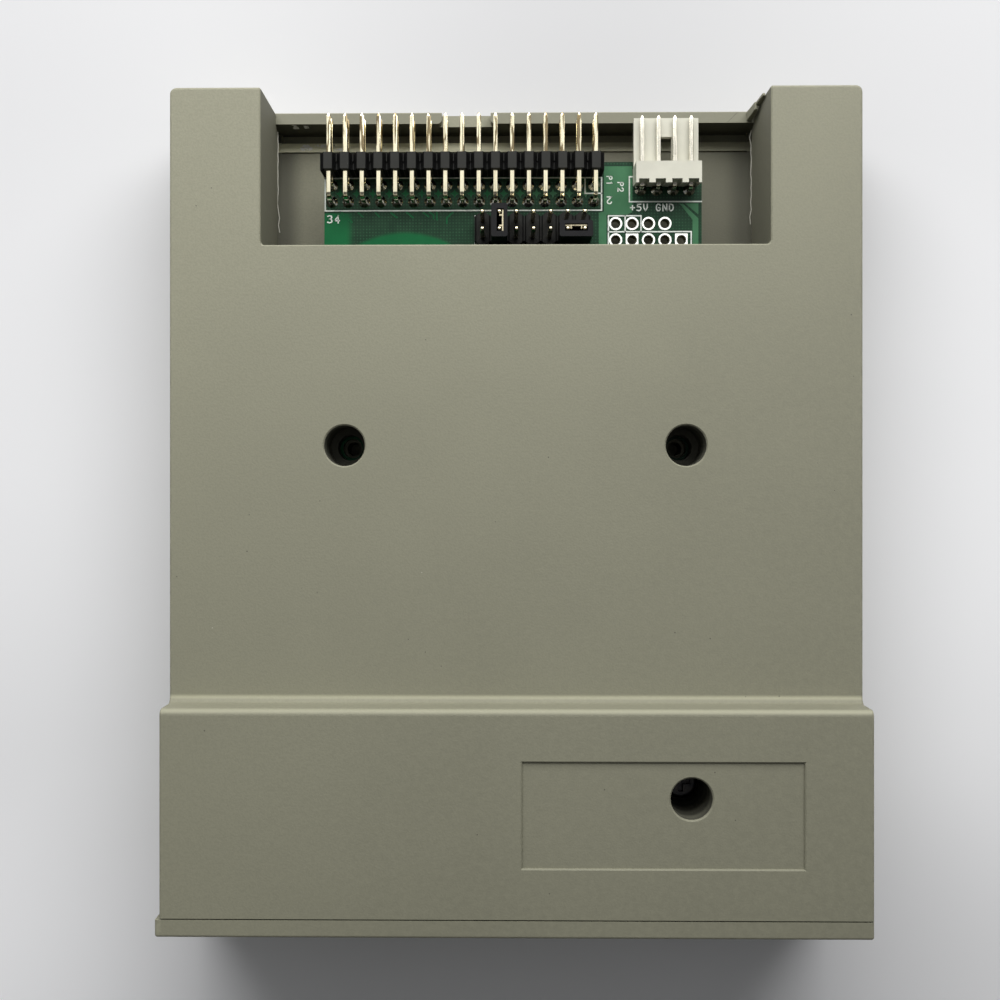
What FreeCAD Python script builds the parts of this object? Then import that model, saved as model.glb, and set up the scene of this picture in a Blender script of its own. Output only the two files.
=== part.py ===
"""Floppy drive emulator in a 3.5 inch drive housing, lying on its top cover.

X runs across the drive, Y from the front bezel (low) to the connectors at the rear (high), and Z up from
the table to the underside, which faces up.  The origin is on the table, under the middle of the case.
Millimetres throughout.  Every size is a cell of the sheet, and every feature is bound to those cells.
"""
import FreeCAD
import Part
import Sketcher

import math
import os
import re

SIZES = {
    # Case, outside
    "case_length": 123.0,        # front of the bezel to the rear face
    "case_width": 101.6,         # across the body
    "case_height": 25.4,         # front section, the height of the bezel
    "body_height": 19.8,         # rear section
    "front_length": 32.6,        # front of the bezel to the step in the underside
    "split_level": 7.5,          # seam between the two covers
    "step_radius": 1.0,          # hollow and round of the step
    "corner_radius": 1.0,        # upright rear corners
    "edge_radius": 0.4,          # every other outer edge
    "seam_chamfer": 0.15,        # on both covers, along the seam
    "edge_break": 0.2,           # rims of the rear opening, the screw bores and the label recess
    # Case, inside
    "side_wall": 2.0,
    "rear_wall": 1.75,
    "panel_wall": 2.0,           # panel of the top cover, on the table
    "roof_wall": 2.0,            # panel of the bottom cover
    "bezel_wall": 2.5,
    "bezel_proud": 0.65,         # the bezel stands out past the left side
    "bezel_seam": 0.2,           # dark line between the bezel and the bottom cover
    "lip_wall": 1.0,             # locating lips inside the side walls
    "lip_depth": 1.2,            # reach of the lips below the seam
    "lip_root": 2.0,             # height of each lip's root above the seam
    "lip_setback": 12.0,         # the lips stop this far from the ends
    "fit_gap": 0.15,             # clearance between the covers
    # Rear opening
    "notch_width": 74.8,
    "notch_depth": 23.2,         # from the rear face
    "notch_wall": 2.0,
    "notch_corner": 0.6,         # its two front corners
    "notch_skirt": 1.7,          # reach of the opening's side walls below the seam
    "rib_inset": 1.0,            # ribs under the skirts, set back from the opening
    "key_offset": -7.5,          # middle of the keyway in the top cover's rear wall
    "key_width": 7.65,
    "key_depth": 1.8,
    "key_corner": 0.7,           # inner upright corners of the keyway
    "channel_width": 1.45,       # channel inside the rear wall
    "channel_depth": 1.2,
    "groove_ahead": 3.1,         # fine groove across the panel, ahead of the rear wall
    "groove_width": 0.25,
    "groove_depth": 0.5,
    # Recess for a label
    "label_length": 40.0,
    "label_width": 15.05,
    "label_offset": 20.95,       # middle of the recess, across
    "label_from_front": 17.5,    # middle of the recess, from the front of the bezel
    "label_depth": 0.4,
    # Screw columns
    "screw_spacing": 50.1,
    "rear_screw_from_front": 70.3,
    "front_screw_from_front": 19.8,
    "column_diameter": 8.5,
    "head_bore": 6.0,
    "shank_bore": 3.9,
    "head_seat": 2.8,            # thickness of plastic under the screw's head
    "boss_diameter": 6.5,
    "pilot_diameter": 2.1,
    "pilot_depth": 5.0,
    "post_diameter": 4.0,        # plain posts under the rear of the board
    "post_spacing": 52.0,
    "post_from_rear": 27.0,
    # Case screw
    "screw_head_diameter": 5.2,
    "screw_head_height": 1.9,
    "screw_shank": 2.6,
    "screw_length": 8.0,
    "screw_drive_width": 0.8,
    "screw_drive_span": 3.0,
    "screw_drive_depth": 1.1,
    # Screw holes in the sides
    "side_hole": 2.5,
    "side_hole_depth": 5.0,
    "side_boss": 7.0,
    "side_hole_from_bezel": 21.0,
    "side_hole_spacing": 60.0,
    "side_hole_count": 2,        # on each side
    "side_hole_below_face": 5.0,
    # Circuit board
    "board_width": 58.5,
    "board_shift": -0.25,        # its middle from the middle of the case
    "board_thickness": 1.6,
    "board_stand": 5.6,          # board's lower side above the top cover's panel
    "board_rear_gap": 8.3,       # rear face of the case to the board's edge
    "board_front_gap": 0.8,      # bezel to the board's edge
    "board_head_width": 88.0,    # wide part behind the bezel
    "board_head_length": 27.0,
    "board_screw_hole": 3.0,
    "hole_gap": 0.18,            # a plated hole's radius past half a pin's side
    # Solder
    "solder_diameter": 1.8,
    "solder_top": 0.35,
    "solder_tail": 0.9,
    "solder_neck": 0.12,         # solder left round the pin at either end of its fillet
    "solder_gap": 0.02,
    # Square pins
    "pin_pitch": 2.54,
    "pin_side": 0.64,
    "pin_tail": 1.3,             # reach below the board
    "pin_bend": 0.5,
    "pin_point": 0.2,            # taken off each side of a pin at its tip
    "pin_point_length": 0.6,
    "segment_width": 0.35,       # half the width of the breaking notch between two cells
    "segment_depth": 0.5,        # of that notch in the 34 way header
    "segment_notch": 0.7,        # and in the jumper header
    # 34 way header
    "header_columns": 17,
    "header_first": 28.3,        # column 1 from the middle line, to the left
    "header_overhang": 0.3,      # body past the board's rear edge
    "header_depth": 2.5,
    "header_height": 5.08,
    "header_low_row": 1.3,       # lower row above the board
    "header_reach": 6.25,         # pins past the body
    "header_inner_leg": 1.35,    # legs ahead of the body
    "header_outer_leg": 3.9,
    # Power header
    "power_pins": 4,
    "power_pitch": 2.5,
    "power_offset": 23.3,
    "power_width": 9.9,
    "power_depth": 3.25,
    "power_height": 5.0,
    "power_lean": 0.5,           # its front face leans back towards the board
    "power_from_rear": 9.5,      # rear of its block from the case's rear face
    "power_pin_height": 2.2,
    "power_pin_reach": 7.7,
    "power_plate_reach": 7.5,
    "power_plate_wall": 1.1,
    "power_plate_stand": 0.4,
    "power_window_width": 1.75,
    "power_window_length": 4.6,
    "power_slot_width": 1.55,
    "power_slot_depth": 0.6,
    "power_leg_inset": 0.1,
    # Jumper header
    "jumper_columns": 7,
    "jumper_first": 4.85,        # column 1 from the middle line, to the left
    "jumper_row_from_rear": 17.85,
    "jumper_body_height": 2.54,
    "jumper_pin_height": 8.6,
    # Shunts
    "shunt_width": 2.4,
    "shunt_length": 4.94,
    "shunt_height": 5.9,
    "shunt_stand": 0.1,
    "shunt_chamfer": 0.2,
    "shunt_column": 2,
    "side_shunt_column": 6,
    "contact_wall": 0.2,
    "contact_gap": 0.08,
    "contact_arm": 0.42,         # reach of its two arms between the pins
    "contact_drop": 0.35,        # contact below the shunt's open top
    "contact_height": 5.0,
    # Row of unused holes
    "spare_offset": 15.7,
    "spare_row_from_rear": 17.85,
    "spare_hole": 1.3,
    "spare_upper_count": 4,
    "spare_lower_count": 5,
    "spare_pad": 2.1,
    "spare_pad_height": 0.04,
    # Microcontroller
    "controller_x": -2.0,
    "controller_ahead": 1.0,     # middle, ahead of the rear screws
    "controller_body": 10.0,
    "controller_height": 1.4,
    "controller_leads": 16,
    "controller_lead_pitch": 0.5,
    "controller_lead_width": 0.22,
    # Buffer
    "buffer_x": -6.0,
    "buffer_ahead": 12.0,        # middle, ahead of the jumpers' first row
    "buffer_length": 8.65,
    "buffer_width": 3.9,
    "buffer_height": 1.5,
    "buffer_leads": 7,
    "buffer_lead_pitch": 1.27,
    "buffer_lead_width": 0.41,
    # Gull wing leads of both
    "lead_thickness": 0.15,
    "lead_reach": 1.0,
    "lead_foot": 0.5,
    "lead_root": 0.75,           # leads leave the body at this height
    "chip_stand": 0.1,
    "chip_chamfer": 0.15,
    "pin_mark_diameter": 0.8,    # dimple by pin 1
    "pin_mark_inset": 1.2,
    "pin_mark_depth": 0.07,
    # Regulator
    "regulator_x": 8.0,
    "regulator_ahead": 12.5,
    "regulator_length": 6.5,
    "regulator_width": 3.5,
    "regulator_height": 1.6,
    "regulator_tab": 3.0,
    "regulator_leg": 0.7,
    "regulator_leg_pitch": 2.3,
    "regulator_reach": 1.75,
    "regulator_metal": 0.25,
    # Crystal
    "crystal_x": -17.0,
    "crystal_behind": 7.75,      # middle, behind the rear screws
    "crystal_length": 11.0,
    "crystal_width": 4.6,
    "crystal_height": 3.5,
    "crystal_rim": 0.35,
    "crystal_rim_height": 0.4,
    # Electrolytic capacitor
    "can_x": 17.0,
    "can_behind": 8.5,
    "can_diameter": 6.3,
    "can_height": 5.4,
    "can_base": 6.6,
    "can_base_height": 0.8,
    "can_groove_height": 1.3,
    "can_groove_depth": 0.25,
    "can_corner": 1.3,
    "can_terminal": 0.8,
    "can_terminal_reach": 0.6,
    # Chip resistors and capacitors
    "chip_length": 2.0,
    "chip_width": 1.25,
    "chip_end": 0.35,
    "resistor_height": 0.5,
    "capacitor_height": 0.85,
    "resistor_count": 8,
    "capacitor_count": 6,
    "chip_spacing": 2.6,
    "resistor_x": -22.0,
    "resistor_ahead": 14.0,
    "capacitor_x": 4.0,
    "capacitor_ahead": 17.0,
    # USB socket
    "usb_offset": 20.0,          # middle, to the left of the middle line
    "usb_width": 13.1,
    "usb_height": 5.72,
    "usb_length": 14.0,
    "usb_sheet": 0.3,
    "usb_stand": 0.6,
    "usb_behind_face": 0.3,
    "usb_tongue_width": 11.1,
    "usb_tongue_height": 1.84,
    "usb_tongue_length": 8.9,
    "usb_block_depth": 3.0,
    "usb_pad_count": 4,
    "usb_pad_width": 1.0,
    "usb_pad_height": 0.12,
    "usb_pad_pitch": 2.3,
    "usb_pad_length": 7.0,
    "usb_leg": 0.5,
    "usb_tab_width": 1.9,
    "usb_tab_inset": 5.0,
    "usb_spring_width": 1.6,
    "usb_spring_length": 5.5,
    "usb_spring_pitch": 5.6,
    "window_gap": 0.3,
    # Display
    "display_offset": 30.0,
    "display_width": 22.5,
    "display_height": 14.0,
    "display_depth": 7.2,
    "display_behind_face": 0.5,
    "display_skin": 0.5,
    "digit_count": 3,
    "digit_pitch": 7.3,
    "digit_height": 9.2,
    "digit_width": 4.9,
    "segment_width": 0.95,
    "segment_slit": 0.12,
    "point_diameter": 0.9,
    "point_gap": 0.3,            # digit to its point
    "display_pins": 6,
    "display_pin_side": 0.5,
    "display_pin_inset": 0.9,
    "display_leg": 2.0,
    # Buttons
    "button_offset": 8.0,
    "button_spacing": 9.0,
    "axis_height": 3.6,          # axis of the buttons and the lamp above the board
    "button_diameter": 3.4,
    "button_proud": 0.8,
    "button_gap": 0.2,
    "button_travel": 0.25,       # then the collar stops just short of the dome
    "collar_diameter": 4.6,
    "collar_height": 0.8,
    "switch_side": 6.2,
    "switch_depth": 3.4,
    "switch_from_bezel": 2.2,
    "switch_cavity": 5.0,
    "switch_floor": 1.0,
    "switch_cover": 0.3,
    "switch_leg": 0.7,
    "switch_leg_spread": 4.5,
    "dome_diameter": 4.4,
    "dome_wall": 0.1,
    "dome_flat": 2.4,            # diameter of the dome's flat middle
    # Lamp
    "lamp_offset": 37.0,
    "lamp_diameter": 3.0,
    "lamp_length": 5.3,
    "lamp_rim_diameter": 3.8,
    "lamp_rim": 1.0,
    "lamp_proud": 0.4,
    "lamp_lead": 0.5,
    "lamp_lead_count": 2,
    "lamp_lead_run": 3.0,
    "lamp_hole_gap": 0.1,
}

# Levels and lines that several pieces share, as expressions on the sheet
FRONT = "(-case_length / 2)"
REAR = "(case_length / 2)"
BEZEL_BACK = "(-case_length / 2 + bezel_wall)"
COVER_FRONT = "(-case_length / 2 + bezel_wall + bezel_seam)"
HALF = "(case_width / 2)"
INSIDE = "(case_width / 2 - side_wall)"
STEP = "(-case_length / 2 + front_length)"
REAR_INSIDE = "(case_length / 2 - rear_wall)"
NOTCH = "(notch_width / 2)"
NOTCH_FRONT = "(case_length / 2 - notch_depth)"
BODY_ROOF = "(body_height - roof_wall)"
FRONT_ROOF = "(case_height - roof_wall)"
BOARD_LOW = "(panel_wall + board_stand)"
BOARD_TOP = "(panel_wall + board_stand + board_thickness)"
BOARD_REAR = "(case_length / 2 - board_rear_gap)"
BOARD_FRONT = "(-case_length / 2 + bezel_wall + board_front_gap)"
HEAD_SEAT = "(panel_wall + board_stand + board_thickness + head_seat)"
REAR_SCREW = "(-case_length / 2 + rear_screw_from_front)"
FRONT_SCREW = "(-case_length / 2 + front_screw_from_front)"
AXIS = "(panel_wall + board_stand + board_thickness + axis_height)"
HEADER_BACK = "(case_length / 2 - board_rear_gap + header_overhang)"
HEADER_FACE = "(case_length / 2 - board_rear_gap + header_overhang - header_depth)"
POWER_BACK = "(case_length / 2 - power_from_rear)"
POWER_FACE = "(case_length / 2 - power_from_rear - power_depth)"
JUMPER_ROW = "(case_length / 2 - jumper_row_from_rear)"
SPARE_ROW = "(case_length / 2 - spare_row_from_rear)"
PIN_HOLE = "(pin_side + 2 * hole_gap)"
MARGIN = 1.0                     # cuts run this far past the faces they open
GUESS = 5.0                      # sketches start about this large; their constraints then set each point


def sized(text):
    """Return an expression with every named size pointed at the sheet."""
    def cell(word):
        return f"Sizes.{word[0]}" if word[0] in SIZES else word[0]
    return re.sub(r"[a-z][a-z_]*", cell, text)


def bind(thing, **values):
    """Bind properties of an object to expressions on the sheet."""
    for name, text in values.items():
        thing.setExpression(name, sized(text))


def place(thing, x="0", y="0", z="0"):
    """Bind an object's Placement."""
    for letter, text in zip("xyz", (x, y, z)):
        thing.setExpression(f"Placement.Base.{letter}", sized(text))


def size_sheet(doc):
    """Fill the sheet with the driving sizes."""
    sheet = doc.addObject("Spreadsheet::Sheet", "Sizes")
    for row_number, (alias, value) in enumerate(SIZES.items(), start=1):
        sheet.set(f"A{row_number}", alias)
        sheet.set(f"B{row_number}", str(value))
        sheet.setAlias(f"B{row_number}", alias)
    doc.recompute()


def new_body(doc, name):
    """Start a body that may hold several separate solids."""
    body = doc.addObject("PartDesign::Body", name)
    body.Label = name
    body.AllowCompound = True
    return body


def datum(body, role):
    """Return one of the body's own origin planes or axes."""
    return next(item for item in body.Origin.OriginFeatures if item.Role == role)


def sketch(body, plane, level="0"):
    """Start a sketch on one of the body's planes, moved along the plane's normal."""
    drawing = body.newObject("Sketcher::SketchObject", "Outline")
    drawing.AttachmentSupport = [(datum(body, plane), "")]
    drawing.MapMode = "FlatFace"
    drawing.setExpression("AttachmentOffset.Base.z", sized(level))
    return drawing


def hold(drawing, kind, line, end, value):
    """Hold one coordinate of a point of the sketch at an expression."""
    point = drawing.getPoint(line, end)
    now = point.x if kind == "DistanceX" else point.y
    index = drawing.addConstraint(Sketcher.Constraint(kind, -1, 1, line, end, now))
    drawing.setExpression(f"Constraints[{index}]", sized(value))


def polygon(drawing, corners):
    """Draw a closed outline whose corners are pairs of expressions."""
    first = drawing.GeometryCount
    count = len(corners)
    turns = [2 * math.pi * step / count for step in range(count)]
    ring = [FreeCAD.Vector(GUESS * (2 + math.cos(turn)), GUESS * (2 + math.sin(turn)), 0) for turn in turns]
    lines = [Part.LineSegment(ring[step], ring[(step + 1) % count]) for step in range(count)]
    drawing.addGeometry(lines, False)
    joins = [Sketcher.Constraint("Coincident", first + step, 2, first + (step + 1) % count, 1)
             for step in range(count)]
    drawing.addConstraint(joins)
    for step, (across, along) in enumerate(corners):
        hold(drawing, "DistanceX", first + step, 1, across)
        hold(drawing, "DistanceY", first + step, 1, along)


def rectangle(drawing, left, right, low, high):
    """Draw a rectangle between four expressions."""
    polygon(drawing, [(left, low), (right, low), (right, high), (left, high)])


def circle(drawing, across, along, diameter):
    """Draw a circle."""
    start = Part.Circle(FreeCAD.Vector(GUESS, GUESS, 0), FreeCAD.Vector(0, 0, 1), GUESS)
    ring = drawing.addGeometry(start, False)
    hold(drawing, "DistanceX", ring, 3, across)
    hold(drawing, "DistanceY", ring, 3, along)
    index = drawing.addConstraint(Sketcher.Constraint("Diameter", ring, 2 * GUESS))
    drawing.setExpression(f"Constraints[{index}]", sized(diameter))


def round_ended(drawing, half_span, radius):
    """Draw an outline with two straight sides and two half round ends about the origin."""
    axis = FreeCAD.Vector(0, 0, 1)
    quarter = math.pi / 2
    half = GUESS / 2
    right = Part.ArcOfCircle(Part.Circle(FreeCAD.Vector(GUESS, 0, 0), axis, half), -quarter, quarter)
    upper = Part.LineSegment(FreeCAD.Vector(GUESS, half, 0), FreeCAD.Vector(-GUESS, half, 0))
    left = Part.ArcOfCircle(Part.Circle(FreeCAD.Vector(-GUESS, 0, 0), axis, half), quarter, 3 * quarter)
    lower = Part.LineSegment(FreeCAD.Vector(-GUESS, -half, 0), FreeCAD.Vector(GUESS, -half, 0))
    drawing.addGeometry([right, upper, left, lower], False)
    drawing.addConstraint([Sketcher.Constraint("Tangent", step, 2, (step + 1) % 4, 1) for step in range(4)])
    drawing.addConstraint(Sketcher.Constraint("Equal", 0, 2))
    hold(drawing, "DistanceX", 0, 3, half_span)
    hold(drawing, "DistanceY", 0, 3, "0")
    hold(drawing, "DistanceX", 2, 3, f"-({half_span})")
    index = drawing.addConstraint(Sketcher.Constraint("Radius", 0, half))
    drawing.setExpression(f"Constraints[{index}]", sized(radius))


def pad(body, drawing, length, back=False):
    """Raise a sketch along its normal, or against it."""
    feature = body.newObject("PartDesign::Pad", "Pad")
    feature.Profile = drawing
    feature.Reversed = back
    bind(feature, Length=length)
    return feature


def pocket(body, drawing, length, back=False):
    """Cut a sketch against its normal, or along it."""
    feature = body.newObject("PartDesign::Pocket", "Pocket")
    feature.Profile = drawing
    feature.Reversed = back
    bind(feature, Length=length)
    return feature


def revolve(body, drawing):
    """Turn a sketch once about its own upright axis."""
    feature = body.newObject("PartDesign::Revolution", "Revolution")
    feature.Profile = drawing
    feature.ReferenceAxis = (drawing, ["V_Axis"])
    feature.Angle = 360
    return feature


def row(body, features, axis, pitch, count):
    """Repeat features along one of the body's axes."""
    pattern = body.newObject("PartDesign::LinearPattern", "Row")
    pattern.Originals = features
    pattern.Direction = (datum(body, axis), [""])
    pattern.Mode = "Spacing"
    bind(pattern, Offset=pitch, Occurrences=count)
    body.Tip = pattern
    return pattern


def soften(body, radius, wanted, kind="Fillet"):
    """Fillet or chamfer the edges that a test picks out by their middle and direction."""
    body.Document.recompute()
    base = body.Tip
    names = []
    for number, edge in enumerate(base.Shape.Edges, start=1):
        if edge.Degenerated:
            continue
        low, high = edge.ParameterRange
        middle = edge.valueAt((low + high) / 2)
        along = edge.tangentAt((low + high) / 2)
        if wanted(middle, along):
            names.append(f"Edge{number}")
    if not names:
        raise RuntimeError(f"{body.Label}: no edge to soften")
    feature = body.newObject(f"PartDesign::{kind}", kind)
    feature.Base = (base, names)
    if kind == "Fillet":
        bind(feature, Radius=radius)
    else:
        bind(feature, Size=radius)
    return feature


def limits(body):
    """Return the bounding box of a body as it is so far."""
    body.Document.recompute()
    return body.Tip.Shape.BoundBox


def near(left, right):
    """Tell whether two coordinates are the same."""
    return abs(left - right) < 1e-4


def group(doc, name, pieces):
    """Gather separate solids in one sub-part."""
    gathered = doc.addObject("Part::Compound", name)
    gathered.Label = name
    gathered.Links = pieces
    return gathered


def screw_places():
    """List the three screw columns."""
    return [("screw_spacing / 2", REAR_SCREW), ("-screw_spacing / 2", REAR_SCREW),
            ("screw_spacing / 2", FRONT_SCREW)]


def window(body, left, right, low, high):
    """Cut a rectangular window through the bezel."""
    opening = sketch(body, "XZ_Plane", f"{REAR} + {MARGIN}")
    rectangle(opening, left, right, low, high)
    pocket(body, opening, f"bezel_wall + 2 * {MARGIN}")


def top_cover(doc):
    """Shallow tray with the front bezel, on the table."""
    body = new_body(doc, "top_cover")
    tray = sketch(body, "XY_Plane")
    rectangle(tray, f"-{HALF}", HALF, FRONT, REAR)
    pad(body, tray, "split_level")
    half = SIZES["case_width"] / 2
    rear = SIZES["case_length"] / 2
    height = SIZES["case_height"]
    split = SIZES["split_level"]
    soften(body, "corner_radius", lambda middle, along: abs(along.z) > 0.9 and middle.y > rear - 1)
    soften(body, "seam_chamfer", lambda middle, along: near(middle.z, split) and middle.y > -rear + 1,
           kind="Chamfer")
    plate = sketch(body, "XY_Plane")
    rectangle(plate, f"-{HALF} - bezel_proud", HALF, FRONT, BEZEL_BACK)
    pad(body, plate, "case_height")
    soften(body, "edge_radius",
           lambda middle, along: near(middle.z, 0) and middle.y > -rear + 5
           or near(middle.z, 0) and abs(middle.x) > half - 1
           or near(middle.y, -rear) or near(middle.z, height) and near(abs(along.y), 1))
    hollow = sketch(body, "XY_Plane", "split_level")
    rectangle(hollow, f"-{INSIDE}", INSIDE, BEZEL_BACK, REAR_INSIDE)
    pocket(body, hollow, "split_level - panel_wall")
    channel = sketch(body, "XY_Plane", "panel_wall")
    rectangle(channel, f"-{NOTCH}", NOTCH, f"{REAR_INSIDE} - channel_width", REAR_INSIDE)
    pocket(body, channel, "channel_depth")
    groove = sketch(body, "XY_Plane", "panel_wall")
    rectangle(groove, f"-{NOTCH}", NOTCH, f"{REAR_INSIDE} - groove_ahead",
              f"{REAR_INSIDE} - groove_ahead + groove_width")
    pocket(body, groove, "groove_depth")
    keyway = sketch(body, "XY_Plane", f"split_level + {MARGIN}")
    rectangle(keyway, "key_offset - key_width / 2", "key_offset + key_width / 2",
              f"{REAR_INSIDE} - {MARGIN} / 2", f"{REAR} + {MARGIN}")
    pocket(body, keyway, f"key_depth + {MARGIN}")
    inner_face = rear - SIZES["rear_wall"]
    key_half = SIZES["key_width"] / 2
    soften(body, "key_corner",
           lambda middle, along: abs(along.z) > 0.9 and near(middle.y, inner_face)
           and near(abs(middle.x - SIZES["key_offset"]), key_half))
    bosses = sketch(body, "XY_Plane", "panel_wall / 2")
    for across, along in screw_places():
        circle(bosses, across, along, "boss_diameter")
    for side in ("", "-"):
        circle(bosses, f"{side}post_spacing / 2", f"{REAR} - post_from_rear", "post_diameter")
    pad(body, bosses, f"{BOARD_LOW} - panel_wall / 2")
    pilots = sketch(body, "XY_Plane", BOARD_LOW)
    for across, along in screw_places():
        circle(pilots, across, along, "pilot_diameter")
    pocket(body, pilots, "pilot_depth")
    ribs = sketch(body, "XY_Plane", "panel_wall / 2")
    for side in (1, -1):
        inner = f"{side} * ({NOTCH} + rib_inset)"
        outer = f"{side} * ({NOTCH} + rib_inset + notch_wall)"
        rectangle(ribs, inner, outer, f"{NOTCH_FRONT} - notch_wall", f"{REAR} - rear_wall / 2")
    pad(body, ribs, "split_level - notch_skirt - fit_gap - panel_wall / 2")
    window(body, "display_offset - display_width / 2 - window_gap",
           "display_offset + display_width / 2 + window_gap",
           BOARD_TOP, f"{BOARD_TOP} + display_height + window_gap")
    window(body, "-usb_offset - usb_width / 2 - window_gap", "-usb_offset + usb_width / 2 + window_gap",
           f"{BOARD_TOP} + usb_stand - window_gap", f"{BOARD_TOP} + usb_stand + usb_height + window_gap")
    holes = sketch(body, "XZ_Plane", f"{REAR} + {MARGIN}")
    for across in ("button_offset", "button_offset - button_spacing"):
        circle(holes, across, AXIS, "button_diameter + 2 * button_gap")
    circle(holes, "-lamp_offset", AXIS, "lamp_diameter + 2 * lamp_hole_gap")
    pocket(body, holes, f"bezel_wall + 2 * {MARGIN}")
    return body


def bottom_cover(doc):
    """Deep cover with the raised front section, the rear opening and the screw columns."""
    body = new_body(doc, "bottom_cover")
    low = sketch(body, "XY_Plane", "split_level")
    rectangle(low, f"-{HALF}", HALF, COVER_FRONT, REAR)
    pad(body, low, "body_height - split_level")
    raised = sketch(body, "XY_Plane", "split_level")
    rectangle(raised, f"-{HALF}", HALF, COVER_FRONT, STEP)
    pad(body, raised, "case_height - split_level")
    half = SIZES["case_width"] / 2
    rear = SIZES["case_length"] / 2
    step = SIZES["front_length"] - rear
    split = SIZES["split_level"]
    wall = SIZES["bezel_wall"]
    soften(body, "corner_radius", lambda middle, along: abs(along.z) > 0.9 and near(middle.y, rear))
    soften(body, "seam_chamfer", lambda middle, along: near(middle.z, split) and middle.y > 1 - rear + wall,
           kind="Chamfer")
    soften(body, "step_radius", lambda middle, along: near(middle.y, step) and abs(along.x) > 0.9)
    soften(body, "edge_radius",
           lambda middle, along: middle.z > split + 1 and near(abs(middle.x), half) and middle.y > step + 5
           and abs(along.y) > 0.9)
    hollow = sketch(body, "XY_Plane", "split_level")
    rectangle(hollow, f"-{INSIDE}", INSIDE, f"{COVER_FRONT} - {MARGIN}", REAR_INSIDE)
    pocket(body, hollow, f"{BODY_ROOF} - split_level", back=True)
    upper = sketch(body, "XY_Plane", "split_level")
    rectangle(upper, f"-{INSIDE}", INSIDE, f"{COVER_FRONT} - {MARGIN}", f"{STEP} - roof_wall")
    pocket(body, upper, f"{FRONT_ROOF} - split_level", back=True)
    notch = sketch(body, "XY_Plane", f"body_height + {MARGIN}")
    rectangle(notch, f"-{NOTCH}", NOTCH, NOTCH_FRONT, f"{REAR} + {MARGIN}")
    pocket(body, notch, f"body_height + 2 * {MARGIN} - split_level")
    notch_side = SIZES["notch_width"] / 2
    notch_front = rear - SIZES["notch_depth"]
    soften(body, "notch_corner",
           lambda middle, along: abs(along.z) > 0.9 and near(middle.y, notch_front)
           and near(abs(middle.x), notch_side))
    walls = sketch(body, "XY_Plane", "split_level")
    for side in (1, -1):
        inner = f"{side} * {NOTCH}"
        outer = f"{side} * ({NOTCH} + notch_wall)"
        rectangle(walls, inner, outer, f"{NOTCH_FRONT} - notch_wall", f"{REAR} - rear_wall / 2")
    pad(body, walls, "body_height - roof_wall / 2 - split_level")
    skirts = sketch(body, "XY_Plane", "split_level - notch_skirt")
    for side in (1, -1):
        inner = f"{side} * {NOTCH}"
        outer = f"{side} * ({NOTCH} + notch_wall)"
        rectangle(skirts, inner, outer, f"{NOTCH_FRONT} - notch_wall", f"{REAR_INSIDE} - fit_gap")
    pad(body, skirts, "notch_skirt")
    roots = sketch(body, "XY_Plane", "split_level")
    lips = sketch(body, "XY_Plane", "split_level - lip_depth")
    for side in (1, -1):
        inner = f"{side} * ({INSIDE} - fit_gap - lip_wall)"
        ends = (f"{COVER_FRONT} + lip_setback", f"{REAR} - lip_setback")
        rectangle(roots, inner, f"{side} * ({INSIDE} + side_wall / 2)", *ends)
        rectangle(lips, inner, f"{side} * ({INSIDE} - fit_gap)", *ends)
    pad(body, roots, "lip_root")
    pad(body, lips, "lip_depth")
    columns = sketch(body, "XY_Plane", BOARD_TOP)
    for across, along in screw_places()[:2]:
        circle(columns, across, along, "column_diameter")
    pad(body, columns, f"{BODY_ROOF} + roof_wall / 2 - {BOARD_TOP}")
    column = sketch(body, "XY_Plane", BOARD_TOP)
    circle(column, *screw_places()[2], "column_diameter")
    pad(body, column, f"{FRONT_ROOF} + roof_wall / 2 - {BOARD_TOP}")
    label = sketch(body, "XY_Plane", f"case_height + {MARGIN}")
    rectangle(label, "label_offset - label_length / 2", "label_offset + label_length / 2",
              f"{FRONT} + label_from_front - label_width / 2",
              f"{FRONT} + label_from_front + label_width / 2")
    pocket(body, label, f"label_depth + {MARGIN}")
    heads = sketch(body, "XY_Plane", f"case_height + {MARGIN}")
    shanks = sketch(body, "XY_Plane", f"case_height + {MARGIN}")
    for across, along in screw_places():
        circle(heads, across, along, "head_bore")
        circle(shanks, across, along, "shank_bore")
    pocket(body, heads, f"case_height + {MARGIN} - {HEAD_SEAT}")
    pocket(body, shanks, f"case_height + 2 * {MARGIN} - {BOARD_TOP}")
    for side in (1, -1):
        side_bosses(body, side)
    break_rims(body)
    return body


def break_rims(body):
    """Break the sharp rims of the rear opening, the screw bores and the label recess."""
    roof = SIZES["body_height"]
    front = -SIZES["case_length"] / 2
    notch_side = SIZES["notch_width"] / 2
    notch_front = -front - SIZES["notch_depth"]
    label_row = front + SIZES["label_from_front"]
    side = SIZES["screw_spacing"] / 2
    screws = [(side, front + SIZES["rear_screw_from_front"]), (-side, front + SIZES["rear_screw_from_front"]),
              (side, front + SIZES["front_screw_from_front"])]

    def rim(middle, along):
        opening = near(middle.z, roof) and (near(abs(middle.x), notch_side) or near(middle.y, notch_front))
        recess = (near(middle.z, SIZES["case_height"])
                  and abs(middle.x - SIZES["label_offset"]) < SIZES["label_length"] / 2 + 1e-4
                  and abs(middle.y - label_row) < SIZES["label_width"] / 2 + 1e-4)
        bore = middle.z > roof - MARGIN and any(
            near(math.hypot(middle.x - x, middle.y - y), SIZES["head_bore"] / 2) for x, y in screws)
        return opening or recess or bore

    soften(body, "edge_break", rim, kind="Chamfer")


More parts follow.
